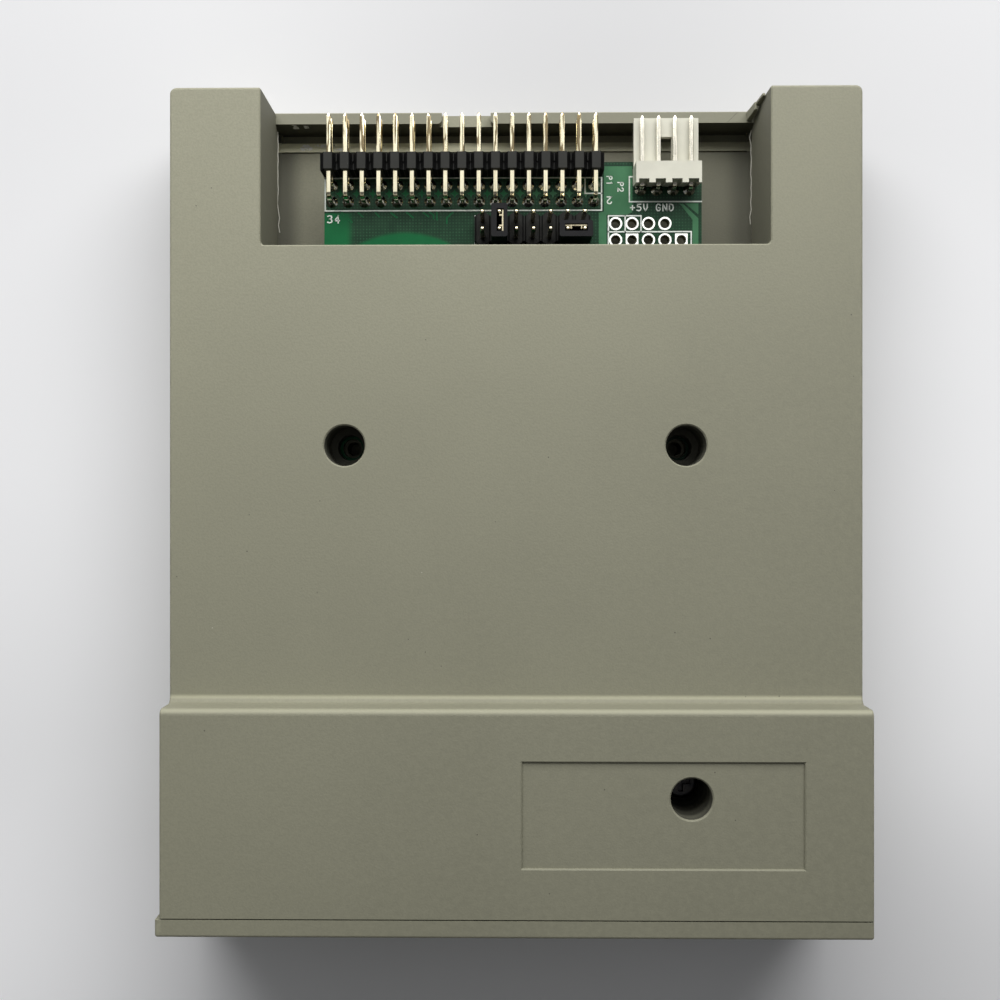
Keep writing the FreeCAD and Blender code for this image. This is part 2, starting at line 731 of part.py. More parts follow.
def side_bosses(body, side):
    """Two bosses inside one side wall, each with a blind screw hole from outside."""
    first = f"{BEZEL_BACK} + side_hole_from_bezel"
    middle = "(body_height - side_hole_below_face)"
    inner = f"({HALF} - side_hole_depth - side_wall)"
    outer = f"({HALF} - side_wall / 2)"
    level = inner if side > 0 else f"-{outer}"
    bosses = sketch(body, "YZ_Plane", level)
    rectangle(bosses, f"{first} - side_boss / 2", f"{first} + side_boss / 2",
              f"{middle} - side_boss / 2", f"body_height - roof_wall / 2")
    raised = pad(body, bosses, f"{outer} - {inner}")
    holes = sketch(body, "YZ_Plane", f"{side} * ({HALF} + {MARGIN})")
    circle(holes, first, middle, "side_hole")
    bored = pocket(body, holes, f"side_hole_depth + {MARGIN}", back=side < 0)
    row(body, [raised, bored], "Y_Axis", "side_hole_spacing", "side_hole_count")


def case_screw(doc):
    """Self-tapping screw in the front column."""
    body = new_body(doc, "case_screw")
    head = sketch(body, "XY_Plane")
    circle(head, "0", "0", "screw_head_diameter")
    pad(body, head, "screw_head_height")
    soften(body, "screw_head_height / 3", lambda middle, along: middle.z > 1)
    shank = sketch(body, "XY_Plane")
    circle(shank, "0", "0", "screw_shank")
    pad(body, shank, "screw_length", back=True)
    drive = sketch(body, "XY_Plane", "screw_head_height")
    half_slot = "screw_drive_width / 2"
    half_span = "screw_drive_span / 2"
    polygon(drive, [(half_span, f"-{half_slot}"), (half_span, half_slot), (half_slot, half_slot),
                    (half_slot, half_span), (f"-{half_slot}", half_span), (f"-{half_slot}", half_slot),
                    (f"-{half_span}", half_slot), (f"-{half_span}", f"-{half_slot}"),
                    (f"-{half_slot}", f"-{half_slot}"), (f"-{half_slot}", f"-{half_span}"),
                    (half_slot, f"-{half_span}"), (half_slot, f"-{half_slot}")])
    pocket(body, drive, "screw_drive_depth")
    place(body, "screw_spacing / 2", FRONT_SCREW, HEAD_SEAT)
    return body


def circuit_board(doc):
    """Board with a wide head behind the bezel, and its holes."""
    body = new_body(doc, "circuit_board")
    outline = sketch(body, "XY_Plane", BOARD_LOW)
    shoulder = f"{BOARD_FRONT} + board_head_length"
    polygon(outline, [("-board_head_width / 2", BOARD_FRONT), ("board_head_width / 2", BOARD_FRONT),
                      ("board_head_width / 2", shoulder), ("board_shift + board_width / 2", shoulder),
                      ("board_shift + board_width / 2", BOARD_REAR),
                      ("board_shift - board_width / 2", BOARD_REAR),
                      ("board_shift - board_width / 2", shoulder), ("-board_head_width / 2", shoulder)])
    pad(body, outline, "board_thickness")
    screws = sketch(body, "XY_Plane", BOARD_TOP)
    for across, along in screw_places():
        circle(screws, across, along, "board_screw_hole")
    pocket(body, screws, "board_thickness")
    hole_row(body, [("-header_first", f"{HEADER_FACE} - header_inner_leg"),
                    ("-header_first", f"{HEADER_FACE} - header_outer_leg")],
             PIN_HOLE, "pin_pitch", "header_columns")
    hole_row(body, [("-jumper_first", JUMPER_ROW), ("-jumper_first", f"{JUMPER_ROW} - pin_pitch")],
             PIN_HOLE, "pin_pitch", "jumper_columns")
    hole_row(body, [("power_offset - power_pitch * (power_pins - 1) / 2", f"{POWER_FACE} + power_leg_inset")],
             PIN_HOLE, "power_pitch", "power_pins")
    hole_row(body, [("spare_offset", SPARE_ROW)], "spare_hole", "pin_pitch", "spare_upper_count")
    hole_row(body, [("spare_offset", f"{SPARE_ROW} - pin_pitch")], "spare_hole", "pin_pitch",
             "spare_lower_count")
    return body


def hole_row(body, places, diameter, pitch, count):
    """Drill a row of holes through the board."""
    drawing = sketch(body, "XY_Plane", BOARD_TOP)
    for across, along in places:
        circle(drawing, across, along, diameter)
    drilled = pocket(body, drawing, "board_thickness")
    row(body, [drilled], "X_Axis", pitch, count)


def solder_row(doc, name, first, rows, pitch, count, above=True):
    """Solder under the board, in the plated holes and, where asked, above it, for rows of pins."""
    body = new_body(doc, name)
    foot = "(solder_diameter / 2)"
    neck = "(pin_side / 2 + solder_neck)"
    barrel = f"({PIN_HOLE} / 2 - solder_gap)"
    top = f"{BOARD_TOP} + solder_top"
    tail = f"{BOARD_LOW} - solder_tail"
    half = "(pin_side / 2 + solder_gap / 2)"
    features = []
    for along in rows:
        profile = sketch(body, "XZ_Plane", f"-({along})")
        outline = [("0", tail), (neck, tail), (foot, BOARD_LOW), (barrel, BOARD_LOW), (barrel, BOARD_TOP)]
        outline += [(foot, BOARD_TOP), (neck, top), ("0", top)] if above else [("0", BOARD_TOP)]
        polygon(profile, outline)
        features.append(revolve(body, profile))
    bore = sketch(body, "XY_Plane", f"{top} + {MARGIN}")
    for along in rows:
        rectangle(bore, f"-{half}", half, f"{along} - {half}", f"{along} + {half}")
    features.append(pocket(body, bore, f"solder_top + board_thickness + solder_tail + 2 * {MARGIN}"))
    row(body, features, "X_Axis", pitch, count)
    place(body, first)
    return body


def solder_joints(doc):
    """All the solder of the pin headers."""
    rows = [
        solder_row(doc, "header_solder_row", "-header_first",
                   [f"{HEADER_FACE} - header_inner_leg", f"{HEADER_FACE} - header_outer_leg"],
                   "pin_pitch", "header_columns"),
        solder_row(doc, "power_solder_row", "power_offset - power_pitch * (power_pins - 1) / 2",
                   [f"{POWER_FACE} + power_leg_inset"], "power_pitch", "power_pins"),
        solder_row(doc, "jumper_solder_row", "-jumper_first", [JUMPER_ROW, f"{JUMPER_ROW} - pin_pitch"],
                   "pin_pitch", "jumper_columns", above=False),
    ]
    return group(doc, "solder_joints", rows)


def spare_pads(doc):
    """Plated rings round the unused holes."""
    body = new_body(doc, "spare_pads")
    for shift, count in (("0", "spare_upper_count"), ("pin_pitch", "spare_lower_count")):
        ring = sketch(body, "XY_Plane", BOARD_TOP)
        circle(ring, "spare_offset", f"{SPARE_ROW} - {shift}", "spare_pad")
        circle(ring, "spare_offset", f"{SPARE_ROW} - {shift}", "spare_hole")
        raised = pad(body, ring, "spare_pad_height")
        row(body, [raised], "X_Axis", "pin_pitch", count)
    return body


def floppy_header_body(doc):
    """Black insulator of the 34 way header, in cells."""
    body = new_body(doc, "floppy_header_body")
    half = "pin_pitch / 2"
    top = f"{BOARD_TOP} + header_height"
    cell = sketch(body, "XZ_Plane", f"-({HEADER_FACE})")
    polygon(cell, [(f"-{half}", f"{BOARD_TOP} + segment_depth"), (f"-{half} + segment_width", BOARD_TOP),
                   (f"{half} - segment_width", BOARD_TOP), (half, f"{BOARD_TOP} + segment_depth"),
                   (half, f"{top} - segment_depth"), (f"{half} - segment_width", top),
                   (f"-{half} + segment_width", top), (f"-{half}", f"{top} - segment_depth")])
    raised = pad(body, cell, "header_depth", back=True)
    bores = sketch(body, "XZ_Plane", f"-({HEADER_FACE} - {MARGIN})")
    bore_half = "(pin_side / 2 + solder_gap / 2)"
    for level in ("header_low_row", "header_low_row + pin_pitch"):
        rectangle(bores, f"-{bore_half}", bore_half, f"{BOARD_TOP} + {level} - {bore_half}",
                  f"{BOARD_TOP} + {level} + {bore_half}")
    bored = pocket(body, bores, f"header_depth + 2 * {MARGIN}")
    row(body, [raised, bored], "X_Axis", "pin_pitch", "header_columns")
    place(body, "-header_first")
    return body


def angle_pin(body, level, leg, tip):
    """Draw and raise one bent square pin: along Y at a level to its point, then down through the board."""
    half = "pin_side / 2"
    profile = sketch(body, "YZ_Plane", f"-{half}")
    tail = f"{BOARD_LOW} - pin_tail"
    shoulder = f"{tip} - pin_point_length"
    outline = [(f"{leg} - {half}", tail), (f"{leg} + {half}", tail), (f"{leg} + {half}", f"{level} - {half}"),
               (shoulder, f"{level} - {half}"), (tip, f"{level} - {half} + pin_point"),
               (tip, f"{level} + {half} - pin_point"), (shoulder, f"{level} + {half}"),
               (f"{leg} - {half} + pin_bend", f"{level} + {half}"),
               (f"{leg} - {half}", f"{level} + {half} - pin_bend")]
    polygon(profile, outline)
    return pad(body, profile, "pin_side")


def point_sides(body, top, depth, tip):
    """Cut the left and right slopes of the points of pins that end at one place."""
    slopes = sketch(body, "XY_Plane", f"{top} + {MARGIN}")
    shoulder = f"{tip} - pin_point_length"
    for side in ("-", ""):
        edge = f"{side}pin_side / 2"
        beyond = f"{side}(pin_side / 2 + {MARGIN})"
        point = f"{side}(pin_side / 2 - pin_point)"
        polygon(slopes, [(edge, shoulder), (point, tip), (point, f"{tip} + {MARGIN}"),
                         (beyond, f"{tip} + {MARGIN}"), (beyond, shoulder)])
    return pocket(body, slopes, f"{depth} + 2 * {MARGIN}")


def floppy_header_pins(doc):
    """34 gilt pins of the header, in two rows."""
    body = new_body(doc, "floppy_header_pins")
    tip = f"{HEADER_BACK} + header_reach"
    lower = angle_pin(body, f"({BOARD_TOP} + header_low_row)", f"({HEADER_FACE} - header_inner_leg)", tip)
    upper = angle_pin(body, f"({BOARD_TOP} + header_low_row + pin_pitch)",
                      f"({HEADER_FACE} - header_outer_leg)", tip)
    points = point_sides(body, f"{BOARD_TOP} + header_low_row + pin_pitch + pin_side / 2",
                         "pin_pitch + pin_side", tip)
    row(body, [lower, upper, points], "X_Axis", "pin_pitch", "header_columns")
    place(body, "-header_first")
    return body


def power_header_body(doc):
    """White insulator with a latch plate behind the pins."""
    body = new_body(doc, "power_header_body")
    left = "-power_width / 2"
    right = "power_width / 2"
    main = sketch(body, "YZ_Plane", left)
    top = f"{BOARD_TOP} + power_height"
    foot = f"{POWER_FACE} + power_leg_inset + solder_diameter / 2 + solder_gap"
    clear = f"{BOARD_TOP} + solder_top + solder_gap"
    polygon(main, [(POWER_FACE, top), (POWER_BACK, top), (POWER_BACK, BOARD_TOP), (foot, BOARD_TOP),
                   (foot, clear), (f"{POWER_FACE} + power_lean", clear)])
    pad(body, main, "power_width")
    plate = sketch(body, "XY_Plane", f"{BOARD_TOP} + power_plate_stand")
    rectangle(plate, left, right, f"{POWER_BACK} - power_depth / 2", f"{POWER_BACK} + power_plate_reach")
    pad(body, plate, "power_plate_wall")
    opening = sketch(body, "XY_Plane", f"{BOARD_TOP} + power_height + {MARGIN}")
    rectangle(opening, "-power_window_width / 2", "power_window_width / 2", POWER_BACK,
              f"{POWER_BACK} + power_window_length")
    pocket(body, opening, f"power_height + 2 * {MARGIN}")
    first = "(-power_pitch * (power_pins - 1) / 2)"
    slots = sketch(body, "XY_Plane", f"{BOARD_TOP} + power_height + {MARGIN}")
    rectangle(slots, f"{first} - power_slot_width / 2", f"{first} + power_slot_width / 2",
              f"{POWER_FACE} - {MARGIN}", f"{POWER_FACE} + power_slot_depth")
    slotted = pocket(body, slots, f"power_height + 2 * {MARGIN}")
    bores = sketch(body, "XZ_Plane", f"-({POWER_FACE} - {MARGIN})")
    bore_half = "(pin_side / 2 + solder_gap / 2)"
    middle = f"{BOARD_TOP} + power_pin_height"
    rectangle(bores, f"{first} - {bore_half}", f"{first} + {bore_half}", f"{middle} - {bore_half}",
              f"{middle} + {bore_half}")
    bored = pocket(body, bores, f"power_depth + 2 * {MARGIN}")
    row(body, [slotted, bored], "X_Axis", "power_pitch", "power_pins")
    place(body, "power_offset")
    return body


def power_header_pins(doc):
    """Four tinned pins of the power header."""
    body = new_body(doc, "power_header_pins")
    tip = f"{POWER_BACK} + power_pin_reach"
    pin = angle_pin(body, f"({BOARD_TOP} + power_pin_height)", f"({POWER_FACE} + power_leg_inset)", tip)
    points = point_sides(body, f"{BOARD_TOP} + power_pin_height + pin_side / 2", "pin_side", tip)
    row(body, [pin, points], "X_Axis", "power_pitch", "power_pins")
    place(body, "power_offset - power_pitch * (power_pins - 1) / 2")
    return body


def jumper_header_body(doc):
    """Black insulator of the option jumpers, in cells."""
    body = new_body(doc, "jumper_header_body")
    half = "pin_pitch / 2"
    bore_half = "(pin_side / 2 + solder_gap / 2)"
    front = "-1.5 * pin_pitch"
    cell = sketch(body, "XY_Plane", BOARD_TOP)
    polygon(cell, [(f"-{half}", f"{front} + segment_notch"), (f"-{half} + segment_width", front),
                   (f"{half} - segment_width", front), (half, f"{front} + segment_notch"),
                   (half, f"{half} - segment_notch"), (f"{half} - segment_width", half),
                   (f"-{half} + segment_width", half), (f"-{half}", f"{half} - segment_notch")])
    raised = pad(body, cell, "jumper_body_height")
    bores = sketch(body, "XY_Plane", f"{BOARD_TOP} + jumper_body_height + {MARGIN}")
    for shift in ("0", "-pin_pitch"):
        rectangle(bores, f"-{bore_half}", bore_half, f"{shift} - {bore_half}", f"{shift} + {bore_half}")
    bored = pocket(body, bores, f"jumper_body_height + 2 * {MARGIN}")
    row(body, [raised, bored], "X_Axis", "pin_pitch", "jumper_columns")
    place(body, "-jumper_first", JUMPER_ROW)
    return body


def jumper_header_pins(doc):
    """Straight pins of the option jumpers."""
    body = new_body(doc, "jumper_header_pins")
    feet = sketch(body, "XY_Plane", f"{BOARD_LOW} - pin_tail")
    half = "pin_side / 2"
    for shift in ("0", "-pin_pitch"):
        rectangle(feet, f"-{half}", half, f"{shift} - {half}", f"{shift} + {half}")
    pins = pad(body, feet, "pin_tail + board_thickness + jumper_pin_height")
    row(body, [pins], "X_Axis", "pin_pitch", "jumper_columns")
    box = limits(body)
    soften(body, "pin_side / 4", lambda middle, along: near(middle.z, box.ZMax), kind="Chamfer")
    place(body, "-jumper_first", JUMPER_ROW)
    return body


SHUNT_FOOT = f"({BOARD_TOP} + jumper_body_height + shunt_stand)"


def shunt_places():
    """Middle of each shunt and whether it lies across."""
    upright = ("-jumper_first + pin_pitch * (shunt_column - 1)", f"{JUMPER_ROW} - pin_pitch / 2", False)
    across = ("-jumper_first + pin_pitch * (side_shunt_column - 1) + pin_pitch / 2",
              f"{JUMPER_ROW} - pin_pitch", True)
    return [upright, across]


def turned(thing, across):
    """Turn a piece a quarter when it lies across."""
    if across:
        thing.Placement.Rotation = FreeCAD.Rotation(FreeCAD.Vector(0, 0, 1), 90)


def shunt_cap(doc, number, x, y, across):
    """Black cap of a shunt, open at the top, with a slot for its contact and two pins."""
    body = new_body(doc, f"shunt_{number}_cap")
    outside = sketch(body, "XY_Plane")
    rectangle(outside, "-shunt_width / 2", "shunt_width / 2", "-shunt_length / 2", "shunt_length / 2")
    pad(body, outside, "shunt_height")
    long_half = SIZES["shunt_length"] / 2
    soften(body, "shunt_chamfer",
           lambda middle, along: near(abs(middle.y), long_half) and abs(along.z) > 0.9, kind="Chamfer")
    inside = sketch(body, "XY_Plane", f"shunt_height + {MARGIN}")
    ends = "pin_pitch / 2 + pin_side / 2 + contact_gap"
    rectangle(inside, "-pin_side / 2 - contact_gap", "pin_side / 2 + contact_wall + 2 * contact_gap",
              f"-({ends})", ends)
    pocket(body, inside, f"shunt_height + 2 * {MARGIN}")
    turned(body, across)
    place(body, x, y, SHUNT_FOOT)
    return body


def shunt_contact(doc, number, x, y, across):
    """Strip that bridges two pins along their sides, with two short arms between them."""
    body = new_body(doc, f"shunt_{number}_contact")
    inner = "(pin_side / 2 + contact_gap)"
    back = f"({inner} + contact_wall)"
    reach = "(pin_pitch / 2 + pin_side / 2)"
    arm = f"({inner} - contact_arm)"
    outside = "(pin_pitch / 2 - pin_side / 2 - contact_gap)"
    inside = f"({outside} - contact_wall)"
    strip = sketch(body, "XY_Plane", "shunt_height - contact_drop")
    outline = [(back, f"-{reach}"), (back, reach), (inner, reach), (inner, outside), (arm, outside),
               (arm, inside), (inner, inside), (inner, f"-{inside}"), (arm, f"-{inside}"),
               (arm, f"-{outside}"), (inner, f"-{outside}"), (inner, f"-{reach}")]
    polygon(strip, outline)
    pad(body, strip, "contact_height", back=True)
    turned(body, across)
    place(body, x, y, SHUNT_FOOT)
    return body


def gull_wing(body, plane, root, side, level, width):
    """One bent lead, from the package's side out and down to the board."""
    drawing = sketch(body, plane, level)
    thick = "lead_thickness"
    start = f"({root})"
    outline = [("0", "lead_root"), ("0.3 * lead_reach", "lead_root"),
               ("lead_reach - lead_foot", "0"), ("lead_reach", "0"), ("lead_reach", thick),
               (f"lead_reach - lead_foot + {thick}", thick),
               (f"0.3 * lead_reach + {thick}", f"lead_root + {thick}"), ("0", f"lead_root + {thick}")]
    polygon(drawing, [(f"{side} * ({start} + {across})", height) for across, height in outline])
    return pad(body, drawing, width)


def leads(doc, name, package, x, y):
    """Gull wing leads on two or four sides of a package."""
    body = new_body(doc, name)
    width = f"{package}_lead_width"
    pitch = f"{package}_lead_pitch"
    count = f"{package}_leads"
    first = f"-({pitch} * ({count} - 1) + {width}) / 2"
    if package == "controller":
        pairs = [("YZ_Plane", "X_Axis", first, "controller_body / 2"),
                 ("XZ_Plane", "Y_Axis", f"-({first}) - {width}", "controller_body / 2")]
    else:
        pairs = [("YZ_Plane", "X_Axis", first, "buffer_width / 2")]
    for plane, axis, level, root in pairs:
        both = [gull_wing(body, plane, root, side, level, width) for side in (1, -1)]
        row(body, both, axis, pitch, count)
    place(body, x, y, BOARD_TOP)
    return body


CONTROLLER_ROW = f"({REAR_SCREW} - controller_ahead)"
BUFFER_ROW = f"({JUMPER_ROW} - buffer_ahead)"
REGULATOR_ROW = f"({JUMPER_ROW} - regulator_ahead)"
CRYSTAL_ROW = f"({REAR_SCREW} + crystal_behind)"
CAN_ROW = f"({REAR_SCREW} + can_behind)"


def controller_body(doc):
    """Flat package of the microcontroller."""
    body = new_body(doc, "microcontroller_body")
    outline = sketch(body, "XY_Plane", "chip_stand")
    half = "controller_body / 2"
    rectangle(outline, f"-{half}", half, f"-{half}", half)
    pad(body, outline, "controller_height")
    box = limits(body)
    soften(body, "chip_chamfer", lambda middle, along: near(middle.z, box.ZMax), kind="Chamfer")
    dimple = sketch(body, "XY_Plane", "chip_stand + controller_height")
    circle(dimple, f"-{half} + pin_mark_inset", f"-{half} + pin_mark_inset", "pin_mark_diameter")
    pocket(body, dimple, "pin_mark_depth")
    place(body, "controller_x", CONTROLLER_ROW, BOARD_TOP)
    return body


def buffer_body(doc):
    """Small package of the line buffer."""
    body = new_body(doc, "buffer_body")
    outline = sketch(body, "XY_Plane", "chip_stand")
    rectangle(outline, "-buffer_length / 2", "buffer_length / 2", "-buffer_width / 2", "buffer_width / 2")
    pad(body, outline, "buffer_height")
    box = limits(body)
    soften(body, "chip_chamfer", lambda middle, along: near(middle.z, box.ZMax), kind="Chamfer")
    place(body, "buffer_x", BUFFER_ROW, BOARD_TOP)
    return body


def regulator_body(doc):
    """Package of the voltage regulator."""
    body = new_body(doc, "regulator_body")
    outline = sketch(body, "XY_Plane", "regulator_metal")
    rectangle(outline, "-regulator_length / 2", "regulator_length / 2", "-regulator_width / 2",
              "regulator_width / 2")
    pad(body, outline, "regulator_height - regulator_metal")
    box = limits(body)
    soften(body, "chip_chamfer", lambda middle, along: near(middle.z, box.ZMax), kind="Chamfer")
    place(body, "regulator_x", REGULATOR_ROW, BOARD_TOP)
    return body


def regulator_legs(doc):
    """Tab and three feet of the regulator."""
    body = new_body(doc, "regulator_legs")
    feet = sketch(body, "XY_Plane")
    inset = "(regulator_width / 4)"
    for step in (-1, 0, 1):
        middle = f"{step} * regulator_leg_pitch"
        rectangle(feet, f"{middle} - regulator_leg / 2", f"{middle} + regulator_leg / 2",
                  "-regulator_width / 2 - regulator_reach", f"-{inset}")
    rectangle(feet, "-regulator_tab / 2", "regulator_tab / 2", inset, "regulator_width / 2 + regulator_reach")
    pad(body, feet, "regulator_metal")
    place(body, "regulator_x", REGULATOR_ROW, BOARD_TOP)
    return body


def crystal_can(doc):
    """Metal can of the crystal, with its rim."""
    body = new_body(doc, "crystal_can")
    for grow, height in (("crystal_rim", "crystal_rim_height"), ("0", "crystal_height")):
        outline = sketch(body, "XY_Plane")
        round_ended(outline, "(crystal_length - crystal_width) / 2", f"crystal_width / 2 + {grow}")
        pad(body, outline, height)
    box = limits(body)
    soften(body, "crystal_rim", lambda middle, along: near(middle.z, box.ZMax))
    place(body, "crystal_x", CRYSTAL_ROW, BOARD_TOP)
    return body


def capacitor_can(doc):
    """Aluminium can of the electrolytic capacitor, with its rolled groove."""
    body = new_body(doc, "capacitor_can")
    profile = sketch(body, "XZ_Plane")
    radius = "(can_diameter / 2)"
    foot = "can_base_height"
    polygon(profile, [("0", foot), (radius, foot), (radius, f"{foot} + can_groove_height - can_groove_depth"),
                      (f"{radius} - can_groove_depth", f"{foot} + can_groove_height"),
                      (radius, f"{foot} + can_groove_height + can_groove_depth"),
                      (radius, f"{foot} + can_height - can_groove_depth"),
                      (f"{radius} - can_groove_depth", f"{foot} + can_height"),
                      ("0", f"{foot} + can_height")])
    revolve(body, profile)
    place(body, "can_x", CAN_ROW, BOARD_TOP)
    return body


def capacitor_base(doc):
    """Black base of the capacitor, with two cut corners."""
    body = new_body(doc, "capacitor_base")
    outline = sketch(body, "XY_Plane")
    half = "can_base / 2"
    polygon(outline, [(f"-{half}", f"-{half}"), (f"{half} - can_corner", f"-{half}"),
                      (half, f"-{half} + can_corner"), (half, f"{half} - can_corner"),
                      (f"{half} - can_corner", half), (f"-{half}", half)])
    pad(body, outline, "can_base_height")
    slot = sketch(body, "XY_Plane", f"-{MARGIN}")
    width = "can_terminal / 2 + solder_gap"
    rectangle(slot, f"-{half} - {MARGIN}", f"{half} + {MARGIN}", f"-({width})", width)
    pocket(body, slot, f"regulator_metal + {MARGIN}", back=True)
    place(body, "can_x", CAN_ROW, BOARD_TOP)
    return body


def capacitor_terminals(doc):
    """Two flat terminals under the capacitor's base."""
    body = new_body(doc, "capacitor_terminals")
    strips = sketch(body, "XY_Plane")
    for side in (1, -1):
        rectangle(strips, f"{side} * can_terminal_reach", f"{side} * (can_base / 2 + can_terminal_reach)",
                  "-can_terminal / 2", "can_terminal / 2")
    pad(body, strips, "regulator_metal")
    place(body, "can_x", CAN_ROW, BOARD_TOP)
    return body


def chip_bodies(doc, name, kind):
    """Row of chip bodies between their ends."""
    body = new_body(doc, name)
    outline = sketch(body, "XY_Plane")
    half = "(chip_length / 2 - chip_end)"
    rectangle(outline, "-chip_width / 2", "chip_width / 2", f"-{half}", half)
    raised = pad(body, outline, f"{kind}_height")
    row(body, [raised], "X_Axis", "chip_spacing", f"{kind}_count")
    place(body, f"{kind}_x", f"{REAR_SCREW} - {kind}_ahead", BOARD_TOP)
    return body


def chip_ends(doc, kind):
    """Tinned ends of a row of chips."""
    body = new_body(doc, f"{kind}_end_row")
    outline = sketch(body, "XY_Plane")
    for side in (1, -1):
        rectangle(outline, "-chip_width / 2", "chip_width / 2", f"{side} * (chip_length / 2 - chip_end)",
                  f"{side} * chip_length / 2")
    raised = pad(body, outline, f"{kind}_height")
    row(body, [raised], "X_Axis", "chip_spacing", f"{kind}_count")
    place(body, f"{kind}_x", f"{REAR_SCREW} - {kind}_ahead", BOARD_TOP)
    return body


USB_LOW = f"({BOARD_TOP} + usb_stand)"
USB_FACE = f"({FRONT} + usb_behind_face)"


def usb_shell(doc):
    """Folded steel shell of the socket, with spring windows and two tabs into the board."""
    body = new_body(doc, "usb_shell")
    outside = sketch(body, "XZ_Plane", f"-{USB_FACE}")
    rectangle(outside, "-usb_width / 2", "usb_width / 2", USB_LOW, f"{USB_LOW} + usb_height")
    pad(body, outside, "usb_length", back=True)
    inside = sketch(body, "XZ_Plane", f"-({USB_FACE} - {MARGIN})")
    rectangle(inside, "-usb_width / 2 + usb_sheet", "usb_width / 2 - usb_sheet", f"{USB_LOW} + usb_sheet",
              f"{USB_LOW} + usb_height - usb_sheet")
    pocket(body, inside, f"usb_length + 2 * {MARGIN}")
    springs = sketch(body, "XY_Plane", f"{USB_LOW} + usb_height + {MARGIN}")
    for side in (1, -1):
        middle = f"{side} * usb_spring_pitch / 2"
        rectangle(springs, f"{middle} - usb_spring_width / 2", f"{middle} + usb_spring_width / 2",
                  f"{USB_FACE} + usb_tab_inset - usb_spring_length / 4",
                  f"{USB_FACE} + usb_tab_inset + usb_spring_length")
    pocket(body, springs, f"usb_height + 2 * {MARGIN}")
    for side in (1, -1):
        tabs = sketch(body, "YZ_Plane", "usb_width / 2 - usb_sheet" if side > 0 else "-usb_width / 2")
        rear = f"({USB_FACE} + usb_length)"
        rectangle(tabs, f"{rear} - usb_tab_inset - usb_tab_width", f"{rear} - usb_tab_inset",
                  BOARD_TOP, f"{USB_LOW} + usb_sheet")
        pad(body, tabs, "usb_sheet")
    place(body, "-usb_offset")
    return body


def usb_insulator(doc):
    """Plastic block at the rear of the socket and the tongue that carries the contacts."""
    body = new_body(doc, "usb_insulator")
    gap = "solder_gap"
    rear = f"({USB_FACE} + usb_length)"
    block_face = f"({rear} - usb_block_depth)"
    inner = f"(usb_width / 2 - usb_sheet - {gap})"
    main = sketch(body, "XZ_Plane", f"-{block_face}")
    rectangle(main, f"-{inner}", inner, f"{USB_LOW} + usb_sheet + {gap}",
              f"{USB_LOW} + usb_height - usb_sheet - {gap}")
    pad(body, main, "usb_block_depth", back=True)
    middle = f"({USB_LOW} + usb_height / 2 - usb_tongue_height)"
    tongue = sketch(body, "XZ_Plane", f"-({block_face} + usb_block_depth / 2)")
    rectangle(tongue, "-usb_tongue_width / 2", "usb_tongue_width / 2", middle,
              f"{middle} + usb_tongue_height")
    pad(body, tongue, "usb_tongue_length + usb_block_depth / 2")
    place(body, "-usb_offset")
    return body


def usb_contacts(doc):
    """Four gilt strips on the tongue."""
    body = new_body(doc, "usb_contacts")
    block_face = f"({USB_FACE} + usb_length - usb_block_depth)"
    level = f"({USB_LOW} + usb_height / 2)"
    strips = sketch(body, "XY_Plane", level)
    first = "(-usb_pad_pitch * (usb_pad_count - 1) / 2)"
    rectangle(strips, f"{first} - usb_pad_width / 2", f"{first} + usb_pad_width / 2",
              f"{block_face} - usb_pad_length", block_face)
    raised = pad(body, strips, "usb_pad_height")
    row(body, [raised], "X_Axis", "usb_pad_pitch", "usb_pad_count")
    place(body, "-usb_offset")
    return body


def usb_legs(doc):
    """Four legs from the rear of the socket down to the board."""
    body = new_body(doc, "usb_legs")
    rear = f"({USB_FACE} + usb_length)"
    legs = sketch(body, "XY_Plane", BOARD_TOP)
    first = "(-usb_pad_pitch * (usb_pad_count - 1) / 2)"
    rectangle(legs, f"{first} - usb_leg / 2", f"{first} + usb_leg / 2", rear, f"{rear} + usb_leg")
    raised = pad(body, legs, "usb_stand + usb_height / 2")
    row(body, [raised], "X_Axis", "usb_pad_pitch", "usb_pad_count")
    place(body, "-usb_offset")
    return body


DISPLAY_FACE = f"({FRONT} + display_behind_face)"
DISPLAY_BACK = f"({FRONT} + display_behind_face + display_depth)"
DISPLAY_MIDDLE = f"({BOARD_TOP} + display_height / 2)"


def segment_outlines():
    """Return the seven segments of a digit as outlines about its middle."""
    wide = "(digit_width / 2 - segment_width / 2)"
    tall = "(digit_height / 2 - segment_width / 2)"
    half = "(segment_width / 2)"
    slit = "segment_slit"
    outlines = []
    for level in (f"(-{tall})", "(0 * segment_width)", tall):
        outlines.append([(f"-{wide} + {slit}", level), (f"-{wide} + {slit} + {half}", f"{level} - {half}"),
                         (f"{wide} - {slit} - {half}", f"{level} - {half}"), (f"{wide} - {slit}", level),
                         (f"{wide} - {slit} - {half}", f"{level} + {half}"),
                         (f"-{wide} + {slit} + {half}", f"{level} + {half}")])
    for side in (f"(-{wide})", wide):
        for low, high in ((f"(-{tall})", "(0 * segment_width)"), ("(0 * segment_width)", tall)):
            outlines.append([(side, f"{low} + {slit}"), (f"{side} + {half}", f"{low} + {slit} + {half}"),
                             (f"{side} + {half}", f"{high} - {slit} - {half}"), (side, f"{high} - {slit}"),
                             (f"{side} - {half}", f"{high} - {slit} - {half}"),
                             (f"{side} - {half}", f"{low} + {slit} + {half}")])
    return outlines


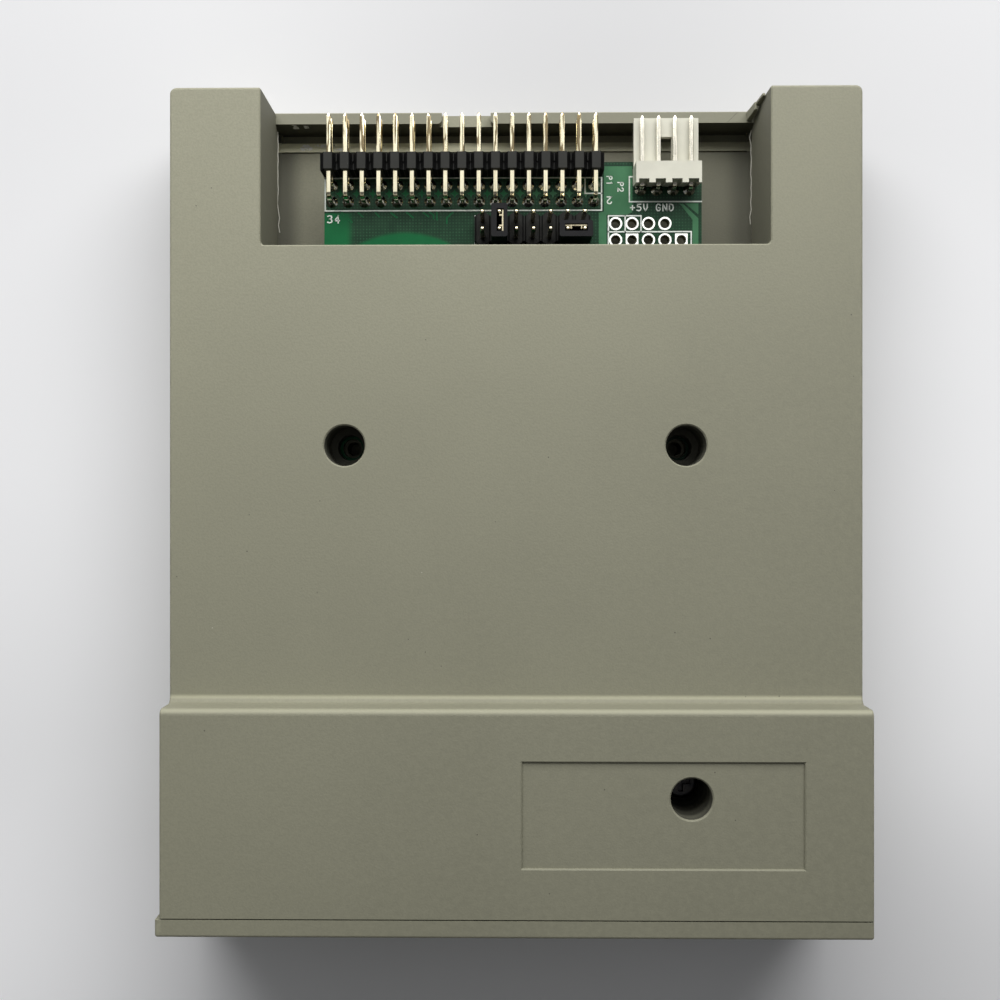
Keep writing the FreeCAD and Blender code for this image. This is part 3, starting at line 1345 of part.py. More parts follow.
def display_marks(body, cut):
    """Cut or raise the digits of the display in its face."""
    drawing = sketch(body, "XZ_Plane", f"-{DISPLAY_FACE}")
    first = "(-digit_pitch * (digit_count - 1) / 2)"
    for outline in segment_outlines():
        polygon(drawing, [(f"{first} + {across}", f"{DISPLAY_MIDDLE} + {height}")
                          for across, height in outline])
    circle(drawing, f"{first} - digit_width / 2 - point_gap - point_diameter / 2",
           f"{DISPLAY_MIDDLE} + digit_height / 2 - point_diameter / 2", "point_diameter")
    feature = pocket(body, drawing, "display_skin") if cut else pad(body, drawing, "display_skin", back=True)
    row(body, [feature], "X_Axis", "digit_pitch", "digit_count")


def display_body(doc):
    """Black block of the three digit display, with its digits cut in."""
    body = new_body(doc, "display_body")
    outside = sketch(body, "XZ_Plane", f"-{DISPLAY_FACE}")
    rectangle(outside, "-display_width / 2", "display_width / 2", BOARD_TOP, f"{BOARD_TOP} + display_height")
    pad(body, outside, "display_depth", back=True)
    display_marks(body, cut=True)
    place(body, "display_offset")
    return body


def display_digits(doc):
    """Milky segments and points that fill the cuts in the display's face."""
    body = new_body(doc, "display_digits")
    display_marks(body, cut=False)
    place(body, "display_offset")
    return body


def display_pins(doc):
    """Two rows of bent pins at the back of the display."""
    body = new_body(doc, "display_pins")
    half = "display_pin_side / 2"
    both = []
    low = f"({BOARD_TOP} + display_pin_inset)"
    high = f"({BOARD_TOP} + display_height - display_pin_inset)"
    near_leg = f"({DISPLAY_BACK} + display_leg)"
    far_leg = f"({DISPLAY_BACK} + 2 * display_leg)"
    for level, leg in ((low, near_leg), (high, far_leg)):
        profile = sketch(body, "YZ_Plane", f"-{half}")
        polygon(profile, [(DISPLAY_BACK, f"{level} - {half}"), (f"{leg} - {half}", f"{level} - {half}"),
                          (f"{leg} - {half}", BOARD_TOP), (f"{leg} + {half}", BOARD_TOP),
                          (f"{leg} + {half}", f"{level} + {half}"), (DISPLAY_BACK, f"{level} + {half}")])
        both.append(pad(body, profile, "display_pin_side"))
    row(body, both, "X_Axis", "pin_pitch", "display_pins")
    place(body, "display_offset - pin_pitch * (display_pins - 1) / 2")
    return body


SWITCH_FACE = f"({BEZEL_BACK} + switch_from_bezel)"
SWITCH_BACK = f"({BEZEL_BACK} + switch_from_bezel + switch_depth)"
SWITCH_FLOOR = f"({BEZEL_BACK} + switch_from_bezel + switch_depth - switch_floor)"
COLLAR_FACE = f"({BEZEL_BACK} + switch_from_bezel + switch_cover + button_gap)"


def switch_base(doc, number, x):
    """Black base of a side-acting push switch, with the cavity for its dome."""
    body = new_body(doc, f"switch_{number}_base")
    half = "switch_side / 2"
    outside = sketch(body, "XZ_Plane", f"-{SWITCH_BACK}")
    rectangle(outside, f"-{half}", half, BOARD_TOP, f"{AXIS} + {half}")
    pad(body, outside, "switch_depth - switch_cover")
    cavity = sketch(body, "XZ_Plane", f"-({SWITCH_FACE} - {MARGIN})")
    circle(cavity, "0", AXIS, "switch_cavity")
    pocket(body, cavity, f"switch_depth - switch_floor + {MARGIN}")
    place(body, x)
    return body


def switch_cover(doc, number, x):
    """Steel plate over the switch's front, with the hole for the button."""
    body = new_body(doc, f"switch_{number}_cover")
    half = "switch_side / 2"
    plate = sketch(body, "XZ_Plane", f"-({SWITCH_FACE} + switch_cover)")
    rectangle(plate, f"-{half}", half, BOARD_TOP, f"{AXIS} + {half}")
    pad(body, plate, "switch_cover")
    hole = sketch(body, "XZ_Plane", f"-({SWITCH_FACE} - {MARGIN})")
    circle(hole, "0", AXIS, "button_diameter + 2 * button_gap")
    pocket(body, hole, f"switch_cover + 2 * {MARGIN}")
    place(body, x)
    return body


def switch_dome(doc, number, x):
    """Snap dome on the floor of the switch's cavity."""
    body = new_body(doc, f"switch_{number}_dome")
    profile = sketch(body, "XY_Plane")
    radius = "(dome_diameter / 2)"
    middle = "(dome_flat / 2)"
    top = f"({COLLAR_FACE} + collar_height + button_travel + dome_wall / 2)"
    polygon(profile, [(radius, SWITCH_FLOOR), (radius, f"{SWITCH_FLOOR} - dome_wall"),
                      (middle, top), ("0", top), ("0", f"{top} + dome_wall"),
                      (middle, f"{top} + dome_wall"), (f"{radius} - dome_wall", SWITCH_FLOOR)])
    revolve(body, profile)
    place(body, x, "0", AXIS)
    return body


def switch_legs(doc, number, x):
    """Four legs of a switch, on the board."""
    body = new_body(doc, f"switch_{number}_leg_row")
    half = "switch_leg / 2"
    feet = sketch(body, "XY_Plane", BOARD_TOP)
    for side in (1, -1):
        middle = f"{side} * switch_leg_spread / 2"
        rectangle(feet, f"{middle} - {half}", f"{middle} + {half}", SWITCH_BACK,
                  f"{SWITCH_BACK} + switch_cover")
    pad(body, feet, "axis_height + switch_side / 4")
    place(body, x)
    return body


def button(doc, number, x):
    """Round button with its collar, which moves."""
    body = new_body(doc, f"button_{number}")
    stem = sketch(body, "XZ_Plane", f"-({FRONT} - button_proud)")
    circle(stem, "0", AXIS, "button_diameter")
    pad(body, stem, f"{COLLAR_FACE} + collar_height - {FRONT} + button_proud", back=True)
    box = limits(body)
    soften(body, "edge_radius", lambda middle, along: near(middle.y, box.YMin))
    collar = sketch(body, "XZ_Plane", f"-{COLLAR_FACE}")
    circle(collar, "0", AXIS, "collar_diameter")
    pad(body, collar, "collar_height", back=True)
    place(body, x)
    return body


def lamp_lens(doc):
    """Clear body of the activity lamp, with its domed end through the bezel."""
    body = new_body(doc, "lamp_lens")
    profile = sketch(body, "XY_Plane")
    tip = f"({FRONT} - lamp_proud)"
    radius = "(lamp_diameter / 2)"
    rim = "(lamp_rim_diameter / 2)"
    back = f"({tip} + lamp_length)"
    polygon(profile, [("0", tip), (f"{radius} * 0.5", f"{tip} + {radius} * 0.13"),
                      (f"{radius} * 0.87", f"{tip} + {radius} * 0.5"), (radius, f"{tip} + {radius}"),
                      (radius, f"{back} - lamp_rim"), (rim, f"{back} - lamp_rim"), (rim, back), ("0", back)])
    revolve(body, profile)
    place(body, "-lamp_offset", "0", AXIS)
    return body


def lamp_leads(doc):
    """Two bent leads of the lamp."""
    body = new_body(doc, "lamp_leads")
    half = "lamp_lead / 2"
    back = f"({FRONT} - lamp_proud + lamp_length)"
    leg = f"({back} + lamp_lead_run)"
    profile = sketch(body, "YZ_Plane", f"-{half}")
    polygon(profile, [(back, f"{AXIS} - {half}"), (f"{leg} - {half}", f"{AXIS} - {half}"),
                      (f"{leg} - {half}", BOARD_TOP), (f"{leg} + {half}", BOARD_TOP),
                      (f"{leg} + {half}", f"{AXIS} + {half}"), (back, f"{AXIS} + {half}")])
    wire = pad(body, profile, "lamp_lead")
    row(body, [wire], "X_Axis", "pin_pitch", "lamp_lead_count")
    place(body, "-lamp_offset - pin_pitch / 2")
    return body


def export(doc, pieces):
    """Check every object and write each sub-part to its own file."""
    os.makedirs("parts", exist_ok=True)
    doc.recompute()
    for item in doc.Objects:
        if "Invalid" in item.State or "Error" in item.State:
            raise RuntimeError(f"{item.Label}: {item.State}")
        if item.TypeId == "PartDesign::Pocket" and item.Shape.Volume > item.BaseFeature.Shape.Volume - 1e-6:
            raise RuntimeError(f"{item.Label} cuts nothing")
    for piece in pieces:
        shape = piece.Shape
        if shape.isNull() or not shape.isValid() or not shape.Solids:
            raise RuntimeError(f"{piece.Label}: the shape is not sound")
        print(f"{piece.Label:24} {len(shape.Solids):3} solids {shape.Volume:11.3f} mm3")
        shape.exportStep(f"parts/{piece.Label}.step")


def main():
    """Build the document and write the sub-parts."""
    doc = FreeCAD.newDocument("FloppyDriveEmulator")
    size_sheet(doc)
    pieces = [top_cover(doc), bottom_cover(doc), case_screw(doc), circuit_board(doc), solder_joints(doc),
              spare_pads(doc), floppy_header_body(doc), floppy_header_pins(doc), power_header_body(doc),
              power_header_pins(doc), jumper_header_body(doc), jumper_header_pins(doc)]
    for number, (x, y, across) in enumerate(shunt_places(), start=1):
        pieces.append(shunt_cap(doc, number, x, y, across))
        pieces.append(shunt_contact(doc, number, x, y, across))
    pieces += [controller_body(doc),
               leads(doc, "microcontroller_leads", "controller", "controller_x", CONTROLLER_ROW),
               buffer_body(doc), leads(doc, "buffer_leads", "buffer", "buffer_x", BUFFER_ROW),
               regulator_body(doc), regulator_legs(doc), crystal_can(doc), capacitor_can(doc),
               capacitor_base(doc), capacitor_terminals(doc),
               chip_bodies(doc, "chip_resistors", "resistor"),
               chip_bodies(doc, "chip_capacitors", "capacitor"),
               group(doc, "chip_ends", [chip_ends(doc, "resistor"), chip_ends(doc, "capacitor")]),
               usb_shell(doc), usb_insulator(doc), usb_contacts(doc), usb_legs(doc),
               display_body(doc), display_digits(doc), display_pins(doc), lamp_lens(doc), lamp_leads(doc)]
    legs = []
    for number, x in enumerate(("button_offset", "button_offset - button_spacing"), start=1):
        pieces += [switch_base(doc, number, x), switch_cover(doc, number, x), switch_dome(doc, number, x),
                   button(doc, number, x)]
        legs.append(switch_legs(doc, number, x))
    pieces.append(group(doc, "switch_legs", legs))
    export(doc, pieces)


main()
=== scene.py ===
"""Floppy drive emulator in Blender: finishes, pins, print, wear, light and camera."""

import logging
import math
from dataclasses import dataclass
from enum import Enum
from functools import cached_property
from typing import Callable, Sequence

import bmesh
import bpy
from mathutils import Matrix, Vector


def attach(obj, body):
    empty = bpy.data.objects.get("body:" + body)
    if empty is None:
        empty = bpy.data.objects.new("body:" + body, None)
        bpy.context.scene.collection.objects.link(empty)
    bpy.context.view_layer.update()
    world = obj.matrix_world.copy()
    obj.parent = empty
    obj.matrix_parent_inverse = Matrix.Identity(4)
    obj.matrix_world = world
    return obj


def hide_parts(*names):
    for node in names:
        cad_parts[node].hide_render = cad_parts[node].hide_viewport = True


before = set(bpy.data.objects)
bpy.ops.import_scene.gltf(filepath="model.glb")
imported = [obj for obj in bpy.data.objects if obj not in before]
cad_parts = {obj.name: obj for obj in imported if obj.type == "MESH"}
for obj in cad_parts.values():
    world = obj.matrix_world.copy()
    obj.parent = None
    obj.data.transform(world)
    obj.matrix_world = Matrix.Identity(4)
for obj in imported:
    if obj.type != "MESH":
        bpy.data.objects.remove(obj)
log = logging.getLogger("emulator")

MM = 0.001
SLACK = 1e-6
BODY = "case"
PIN_PITCH = 2.54
Pair = tuple[float, float]
Place = tuple[float, float]
Point = tuple[float, float, float]
Colour = tuple[float, float, float]
Shade = Colour | bpy.types.NodeSocket


class Axis(Enum):
    """Directions along which a finish is drawn, rolled or brushed."""

    ACROSS = (0.08, 1.0, 1.0)
    ALONG = (1.0, 0.08, 1.0)
    UPRIGHT = (1.0, 1.0, 0.08)
    NONE = (1.0, 1.0, 1.0)


def tint(colour: Colour, factor: float) -> Colour:
    """Return a colour made lighter or darker by a factor."""
    return tuple(min(1.0, part * factor) for part in colour)


class Signal:
    """A number that varies over a surface. Arithmetic on it adds Math nodes."""

    def __init__(self, graph: "Graph", socket: bpy.types.NodeSocket) -> None:
        """Wrap the output of a node."""
        self.graph = graph
        self.socket = socket

    def __add__(self, other: "Signal | float") -> "Signal":
        """Add."""
        return self.graph.maths("ADD", self, other)

    def __radd__(self, other: float) -> "Signal":
        """Add to a number."""
        return self.graph.maths("ADD", other, self)

    def __sub__(self, other: "Signal | float") -> "Signal":
        """Subtract."""
        return self.graph.maths("SUBTRACT", self, other)

    def __rsub__(self, other: float) -> "Signal":
        """Subtract from a number."""
        return self.graph.maths("SUBTRACT", other, self)

    def __mul__(self, other: "Signal | float") -> "Signal":
        """Multiply."""
        return self.graph.maths("MULTIPLY", self, other)

    def __rmul__(self, other: float) -> "Signal":
        """Multiply a number."""
        return self.graph.maths("MULTIPLY", other, self)

    def __abs__(self) -> "Signal":
        """Take the size without its sign."""
        return self.graph.maths("ABSOLUTE", self)

    def most(self, other: "Signal | float") -> "Signal":
        """Take the larger of two values."""
        return self.graph.maths("MAXIMUM", self, other)

    def rise(self, low: float, high: float) -> "Signal":
        """Go smoothly from 0 at a low value to 1 at a high one.

        Args:
            low: value at which the result leaves 0.
            high: value at which it reaches 1.

        Returns:
            The smoothed signal.
        """
        return self.span(low, high, 0.0, 1.0)

    def span(self, low: float, high: float, first: "Signal | float", last: "Signal | float") -> "Signal":
        """Go smoothly from one value to another.

        Args:
            low: value at which the result leaves the first value.
            high: value at which it reaches the last one.
            first: the result up to the low value.
            last: the result from the high value on.

        Returns:
            The smoothed signal.
        """
        node = self.graph.node("ShaderNodeMapRange", {"interpolation_type": "SMOOTHSTEP"},
                               {"Value": self, "From Min": low, "From Max": high, "To Min": first,
                                "To Max": last})
        return Signal(self.graph, node.outputs["Result"])

    def near(self, value: float, reach: float) -> "Signal":
        """Be 1 at a value and fall to 0 at a distance from it."""
        return abs(self - value).rise(reach, 0.0)

    def within(self, low: float, high: float, soft: float) -> "Signal":
        """Be 1 between two values, with soft ends outside them."""
        return self.rise(low - soft, low) * self.rise(high + soft, high)


class Graph:
    """A tree of shader nodes."""

    def __init__(self, tree: bpy.types.NodeTree) -> None:
        """Start from an empty tree."""
        self.tree = tree
        tree.nodes.clear()

    def node(self, kind: str, settings: dict[str, object] | None = None,
             sockets: dict[str | int, object] | None = None) -> bpy.types.Node:
        """Add a node.

        Args:
            kind: the node's type.
            settings: its properties.
            sockets: values or links of its inputs.

        Returns:
            The node.
        """
        made = self.tree.nodes.new(kind)
        for key, value in (settings or {}).items():
            setattr(made, key, value)
        for key, value in (sockets or {}).items():
            self.plug(made.inputs[key], value)
        return made

    def plug(self, socket: bpy.types.NodeSocket, value: object) -> None:
        """Give an input a value, or link another node's output to it.

        Args:
            socket: the input.
            value: a number, a colour, a signal or another node's output.
        """
        if isinstance(value, Signal):
            value = value.socket
        if isinstance(value, bpy.types.NodeSocket):
            self.tree.links.new(value, socket)
        elif socket.type == "RGBA":
            socket.default_value = (*value, 1.0)
        else:
            socket.default_value = value

    def maths(self, operation: str, *values: "Signal | float") -> Signal:
        """Combine numbers with a Math node."""
        node = self.node("ShaderNodeMath", {"operation": operation}, dict(enumerate(values)))
        return Signal(self, node.outputs[0])

    def split(self, vector: bpy.types.NodeSocket) -> tuple[Signal, Signal, Signal]:
        """Return x, y and z of a vector."""
        node = self.node("ShaderNodeSeparateXYZ", None, {0: vector})
        return tuple(Signal(self, output) for output in node.outputs)

    def seen(self) -> Signal:
        """Tell what is looked at from what lights the object.

        Returns:
            1 for what the camera, metal and glass see, and 0 for what lights the object.
        """
        rays = self.node("ShaderNodeLightPath").outputs
        return (Signal(self, rays["Is Camera Ray"]).most(Signal(self, rays["Is Glossy Ray"]))
                .most(Signal(self, rays["Is Transmission Ray"])))


class Skin(Graph):
    """The nodes of one material, with millimetre coordinates in the part's frame."""

    def __init__(self, name: str) -> None:
        """Start a material with one Principled shader.

        Args:
            name: name of the material.
        """
        self.material = bpy.data.materials.new(name)
        self.material.use_nodes = True
        super().__init__(self.material.node_tree)
        self.shader = self.node("ShaderNodeBsdfPrincipled")
        self.surface = self.node("ShaderNodeOutputMaterial", None,
                                 {"Surface": self.shader.outputs["BSDF"]}).inputs["Surface"]
        self.coordinates = self.node("ShaderNodeTexCoord").outputs["Object"]

    @cached_property
    def place(self) -> tuple[Signal, Signal, Signal]:
        """Read the place on the piece, once.

        Returns:
            Its x, y and z in millimetres.
        """
        scaled = self.node("ShaderNodeVectorMath", {"operation": "SCALE"},
                           {0: self.coordinates, "Scale": 1.0 / MM})
        return self.split(scaled.outputs[0])

    def noise(self, size: float, detail: float = 2.0, rough: float = 0.5,
              axis: Axis = Axis.NONE) -> Signal:
        """Cloudy variation.

        Args:
            size: width of its patches in millimetres.
            detail: how many finer layers it has.
            rough: how strong these are.
            axis: the direction in which it is drawn out.

        Returns:
            A signal around 0.5.
        """
        place = self.coordinates
        if axis is not Axis.NONE:
            place = self.node("ShaderNodeMapping", None, {"Vector": place, "Scale": axis.value}).outputs[0]
        node = self.node("ShaderNodeTexNoise", None, {"Vector": place, "Scale": 1.0 / (size * MM),
                                                      "Detail": detail, "Roughness": rough})
        return Signal(self, node.outputs[0])

    def specks(self, spacing: float, radius: float, share: float) -> Signal:
        """Scattered dots.

        Args:
            spacing: width of the cells that may hold a dot, in millimetres.
            radius: radius of a dot in millimetres.
            share: the part of the cells that hold one.

        Returns:
            1 in the dots and 0 between them.
        """
        node = self.node("ShaderNodeTexVoronoi", None, {"Vector": self.coordinates,
                                                        "Scale": 1.0 / (spacing * MM)})
        split = self.node("ShaderNodeSeparateColor", None, {0: node.outputs["Color"]})
        chosen = Signal(self, split.outputs[0]).rise(1.0 - share - 0.01, 1.0 - share)
        reach = radius / spacing
        return chosen * Signal(self, node.outputs["Distance"]).rise(reach, 0.6 * reach)

    def blend(self, factor: Signal | float, first: Shade, second: Shade) -> bpy.types.NodeSocket:
        """Mix two colours."""
        return self.node("ShaderNodeMix", {"data_type": "RGBA"}, {0: factor, 6: first, 7: second}).outputs[2]

    def finish(self, colour: Shade, roughness: Signal | float, height: Signal | None = None,
               depth: float = 0.01, **constants: float) -> None:
        """Set the shader.

        Args:
            colour: colour or link for the base.
            roughness: number or link.
            height: signal that raises the surface.
            depth: what 1 of that signal stands for, in millimetres.
            constants: plain values of other inputs, with underscores for spaces.
        """
        self.plug(self.shader.inputs["Base Color"], colour)
        self.plug(self.shader.inputs["Roughness"], roughness)
        if height is not None:
            bump = self.node("ShaderNodeBump", None, {"Strength": 1.0, "Distance": depth * MM,
                                                      "Height": height})
            self.plug(self.shader.inputs["Normal"], bump.outputs[0])
        for key, value in constants.items():
            self.plug(self.shader.inputs[key.replace("_", " ")], value)


@dataclass(frozen=True)
class Finish:
    """A finish, which makes its material once."""

    name: str

    def paint(self, skin: Skin) -> None:
        """Fill in the nodes."""
        raise NotImplementedError

    def material(self) -> bpy.types.Material:
        """Find the finish's material, or make it at its first use.

        Returns:
            The material.
        """
        name = f"{self.name}_finish"
        found = bpy.data.materials.get(name)
        if found is None:
            skin = Skin(name)
            self.paint(skin)
            found = skin.material
        return found


@dataclass(frozen=True)
class Scuff:
    """A rubbed patch on the housing: its middle, half sizes, height range and strength."""

    x: float
    y: float
    half_length: float
    half_width: float
    low: float
    high: float
    strength: float = 1.0


@dataclass(frozen=True)
class Bore:
    """A screw hole, whose wall is painted dark below its rim as shade."""

    x: float
    y: float
    radius: float
    rim: float


@dataclass(frozen=True)
class Bay:
    """The open bay at the rear, and the painted shade and light on each of its faces.

    The floor lies at a level and runs a little under the side walls, up to the rim's inner face. A band
    before the rim is painted pale as light, and a crack runs through the rim's top.
    """

    half_width: float = 37.4
    under_walls: float = 2.0
    front: float = 38.3
    rim: float = 59.75
    rim_top: float = 7.5
    level: float = 2.0
    band: Pair = (56.95, 58.3)
    crack: Place = (34.2, 60.7)
    right_floor_shade_tint: float = 0.68
    corner_shade_tint: float = 0.45
    band_light_tint: float = 3.9
    rim_wall_shade_tint: float = 0.42
    side_wall_shade_tint: float = 0.62
    rim_top_shade_tint: float = 0.82
    crack_tint: float = 0.2


@dataclass(frozen=True)
class HousingPlastic(Finish):
    """Warm grey moulded plastic: matt grain, faint clouds, dark specks, rubbed edges."""

    colour: Colour = (0.218, 0.213, 0.152)
    rubbed: Colour = (0.84, 0.83, 0.79)
    grain: float = 0.32
    grain_depth: float = 0.02
    half_width: float = 50.8
    rear: float = 61.5
    step: float = -28.9
    low_face: float = 19.8
    high_face: float = 25.4
    painted_falloff_and_cloud: Pair = (0.78, 1.14)
    hollow_highlight_tint: float = 1.6
    crest_highlight_tint: float = 1.35
    bore_shade_tint: float = 0.16
    dark_speck: Colour = (0.045, 0.042, 0.032)
    pale_speck: Colour = (0.5, 0.49, 0.42)
    scuffs: tuple[Scuff, ...] = ()
    bores: tuple[Bore, ...] = ()
    bay: Bay | None = None

    def wear(self, skin: Skin) -> Signal:
        """Mark the outer edges where the grain is rubbed pale.

        Args:
            skin: the material's nodes.

        Returns:
            1 where it is rubbed.
        """
        x, y, z = skin.place
        side = abs(x).rise(self.half_width - 0.5, self.half_width)
        rear = y.rise(self.rear - 0.5, self.rear)
        low = z.near(self.low_face, 0.45) * y.rise(self.step, self.step + 1.5)
        high = z.rise(self.high_face - 0.45, self.high_face)
        edges = (side * low).most(rear * low).most(y.near(self.step, 0.9) * high).most(side * high)
        return edges * skin.noise(1.7, 3.0, 0.6).rise(0.42, 0.62)

    def scratches(self, skin: Skin) -> Signal:
        """Mark the rubbed patches.

        Args:
            skin: the material's nodes.

        Returns:
            1 in the patches, which are broken up.
        """
        x, y, z = skin.place
        marks = 0.0
        for scuff in self.scuffs:
            patch = (x.near(scuff.x, scuff.half_length) * y.near(scuff.y, scuff.half_width)
                     * z.within(scuff.low, scuff.high, 0.1))
            marks = (patch * scuff.strength).most(marks)
        return (marks * skin.noise(0.5, 3.0, 0.65).rise(0.4, 0.58)).rise(0.08, 0.45)

    def bore_shade(self, skin: Skin) -> Signal:
        """Mark the walls of the screw holes for painted shade, with faint rings.

        Args:
            skin: the material's nodes.

        Returns:
            Near 1 on the walls.
        """
        x, y, z = skin.place
        marks = 0.0
        for bore in self.bores:
            away = skin.maths("SQRT", (x - bore.x) * (x - bore.x) + (y - bore.y) * (y - bore.y))
            wall = away.rise(bore.radius + 0.15, bore.radius + 0.05)
            marks = (wall * z.rise(bore.rim - 0.15, bore.rim - 0.4)).most(marks)
        rings = skin.maths("SINE", z * 2.4).rise(-1.0, 1.0)
        return marks * (0.72 + 0.2 * rings)

    def shade_bay(self, skin: Skin, base: Shade) -> Shade:
        """Paint shade on the bay's floor, walls and rim top, paint light on the band before the rim, and
        crack the rim.

        Args:
            skin: the material's nodes.
            base: the colour so far.

        Returns:
            The new colour.
        """
        bay = self.bay
        x, y, z = skin.place
        inside = abs(x).rise(bay.half_width, bay.half_width - 0.05)
        reach = bay.half_width + bay.under_walls
        under = abs(x).rise(reach + 0.2, reach)
        floor = y.within(bay.front + 0.1, bay.rim + 0.4, 0.1) * z.near(bay.level, 0.3) * under
        # Painted shadow: the bay's floor darkens towards the right wall.
        base = skin.blend(floor * x.rise(26.0, 39.0), base, tint(self.colour, bay.right_floor_shade_tint))
        # Painted shade: the floor darkens next to the side walls.
        corner = floor * abs(x).rise(bay.half_width - 4.0, bay.half_width - 0.6)
        base = skin.blend(corner, base, tint(self.colour, bay.corner_shade_tint))
        # Painted light: the band before the rim is made pale, less so towards the right.
        worn = y.within(*bay.band, 0.15) * floor * x.span(-12.0, 16.0, 1.0, 0.3)
        streaks = skin.noise(0.7, 3.0, 0.6, Axis.ACROSS)
        base = skin.blend(worn * streaks.span(0.3, 0.7, 0.75, 1.0), base, tint(self.colour, bay.band_light_tint))
        # Painted shade: the rim's inner face is darkened.
        wall = y.near(bay.rim, 0.04) * z.rise(bay.rim_top - 0.05, bay.rim_top - 0.3) * under
        base = skin.blend(wall * z.rise(0.5, 0.8), base, tint(self.colour, bay.rim_wall_shade_tint))
        # Painted shade: the side walls of the bay are darkened.
        side = abs(x).near(bay.half_width, 0.06) * y.within(bay.front + 0.1, self.rear - 0.3, 0.1)
        base = skin.blend(side * z.rise(bay.level, bay.level + 0.2), base,
                          tint(self.colour, bay.side_wall_shade_tint))
        # Painted shade: the rim's top is darker; the crack drawn below is the rim's own.
        top = y.rise(bay.rim, bay.rim + 0.1) * z.near(bay.rim_top, 0.1) * inside
        base = skin.blend(top, base, tint(self.colour, bay.rim_top_shade_tint))
        across, along = bay.crack
        line = (x - across) - (y - along) + skin.noise(0.8, 2.0, 0.6) * 0.2
        return skin.blend(line.near(0.1, 0.09) * top * 0.8, base, tint(self.colour, bay.crack_tint))

    def paint(self, skin: Skin) -> None:
        """Fill in the nodes.

        Args:
            skin: the material's nodes.
        """
        x, y, z = skin.place
        cloud = skin.noise(38.0, 3.0, 0.5)
        mottle = skin.noise(1.1, 4.0, 0.7)
        grain = skin.noise(self.grain, 2.0, 0.6)
        # Painted shade: the top darkens towards the front and the right, where the light falls off; faint
        # clouds make up the rest.
        base = skin.blend((x * -0.009 + y * 0.007 + 0.5) * 0.7 + cloud.rise(0.3, 0.7) * 0.3,
                          *(tint(self.colour, factor) for factor in self.painted_falloff_and_cloud))
        base = skin.blend(mottle.rise(0.25, 0.75) * 0.5, base, tint(self.colour, 1.07))
        base = skin.blend(grain.rise(0.62, 0.35) * 0.22, base, tint(self.colour, 0.72))
        base = skin.blend(self.wear(skin) * 0.35, base, tint(self.colour, 1.6))
        # Painted highlights: pale lines along the step's hollow and along its crest.
        hollow_highlight = y.near(self.step + 0.85, 0.5) * z.within(self.low_face - 0.1, self.low_face + 0.9, 0.1)
        base = skin.blend(hollow_highlight, base, tint(self.colour, self.hollow_highlight_tint))
        crest_highlight = y.near(self.step - 0.35, 0.5) * z.rise(self.high_face - 0.8, self.high_face - 0.5)
        base = skin.blend(crest_highlight, base, tint(self.colour, self.crest_highlight_tint))
        # Painted shade: the walls of the screw holes are darkened below their rims.
        if self.bores:
            base = skin.blend(self.bore_shade(skin), base, tint(self.colour, self.bore_shade_tint))
        if self.bay:
            base = self.shade_bay(skin, base)
        if self.scuffs:
            base = skin.blend(self.scratches(skin), base, self.rubbed)
        base = skin.blend(skin.specks(2.6, 0.13, 0.16) * 0.75, base, self.dark_speck)
        base = skin.blend(skin.specks(3.4, 0.1, 0.1) * 0.5, base, self.pale_speck)
        skin.finish(base, 0.62 + 0.16 * mottle, grain + 0.35 * mottle, self.grain_depth,
                    Specular_IOR_Level=0.5)


@dataclass(frozen=True)
class Plastic(Finish):
    """Plain moulded plastic, glass or resin with a satin grain."""

    colour: Colour
    roughness: float = 0.45
    spread: float = 0.12
    grain: float = 0.25
    grain_depth: float = 0.006
    specular: float = 0.35
    dust: float = 0.25
    dust_colour: Colour = (0.3, 0.3, 0.28)
    grooves: tuple[float, float, Pair] | None = None

    def paint(self, skin: Skin) -> None:
        """Fill in the nodes.

        Grooves are given by the middle of the first, their pitch, and from where to where on each side
        of its middle a groove is painted dark, as shade.

        Args:
            skin: the material's nodes.
        """
        cloud = skin.noise(5.0, 3.0, 0.6)
        grain = skin.noise(self.grain, 2.0, 0.6)
        base = skin.blend(cloud.rise(0.3, 0.7), tint(self.colour, 1.0 - self.spread),
                          tint(self.colour, 1.0 + self.spread))
        base = skin.blend(skin.specks(0.9, 0.05, 0.2) * self.dust, base, self.dust_colour)
        rough = self.roughness + 0.14 * (cloud - 0.5)
        # Painted shade: the grooves are darkened in colour.
        if self.grooves:
            first, pitch, reach = self.grooves
            beside = skin.place[0] - first
            cut = skin.maths("PINGPONG", beside, pitch / 2).within(*reach, 0.06)
            base = skin.blend(cut, base, tint(self.colour, 0.06))
            rough = rough + 0.35 * cut
        skin.finish(base, rough, grain, self.grain_depth, Specular_IOR_Level=self.specular)


@dataclass(frozen=True)
class Metal(Finish):
    """Bare or plated metal with tarnish and drawing lines."""

    colour: Colour
    stain: Colour
    roughness: float = 0.3
    stained: float = 0.35
    axis: Axis = Axis.NONE
    patch: float = 1.2
    line: float = 0.05
    lined: float = 0.25
    line_depth: float = 0.002
    streaked: Pair | None = None

    def paint(self, skin: Skin) -> None:
        """Fill in the nodes.

        Streaks are given by the place along where they start and their strength.

        Args:
            skin: the material's nodes.
        """
        patch = skin.noise(self.patch, 3.0, 0.6)
        lines = skin.noise(self.line, 2.0, 0.5, self.axis)
        base = skin.blend(patch.rise(0.35, 0.7) * self.stained, self.colour, self.stain)
        base = skin.blend(lines.rise(0.5, 0.68) * self.lined, base, self.stain)
        if self.streaked:
            start, share = self.streaked
            behind = skin.place[1].rise(start, start + 0.3)
            streaks = skin.noise(0.3, 1.0, 0.5, Axis.ALONG)
            base = skin.blend(streaks.rise(0.5, 0.56) * behind * share, base, tint(self.stain, 0.35))
        skin.finish(base, self.roughness + 0.2 * (patch - 0.5) + 0.1 * (lines - 0.5), lines,
                    self.line_depth, Metallic=1.0)


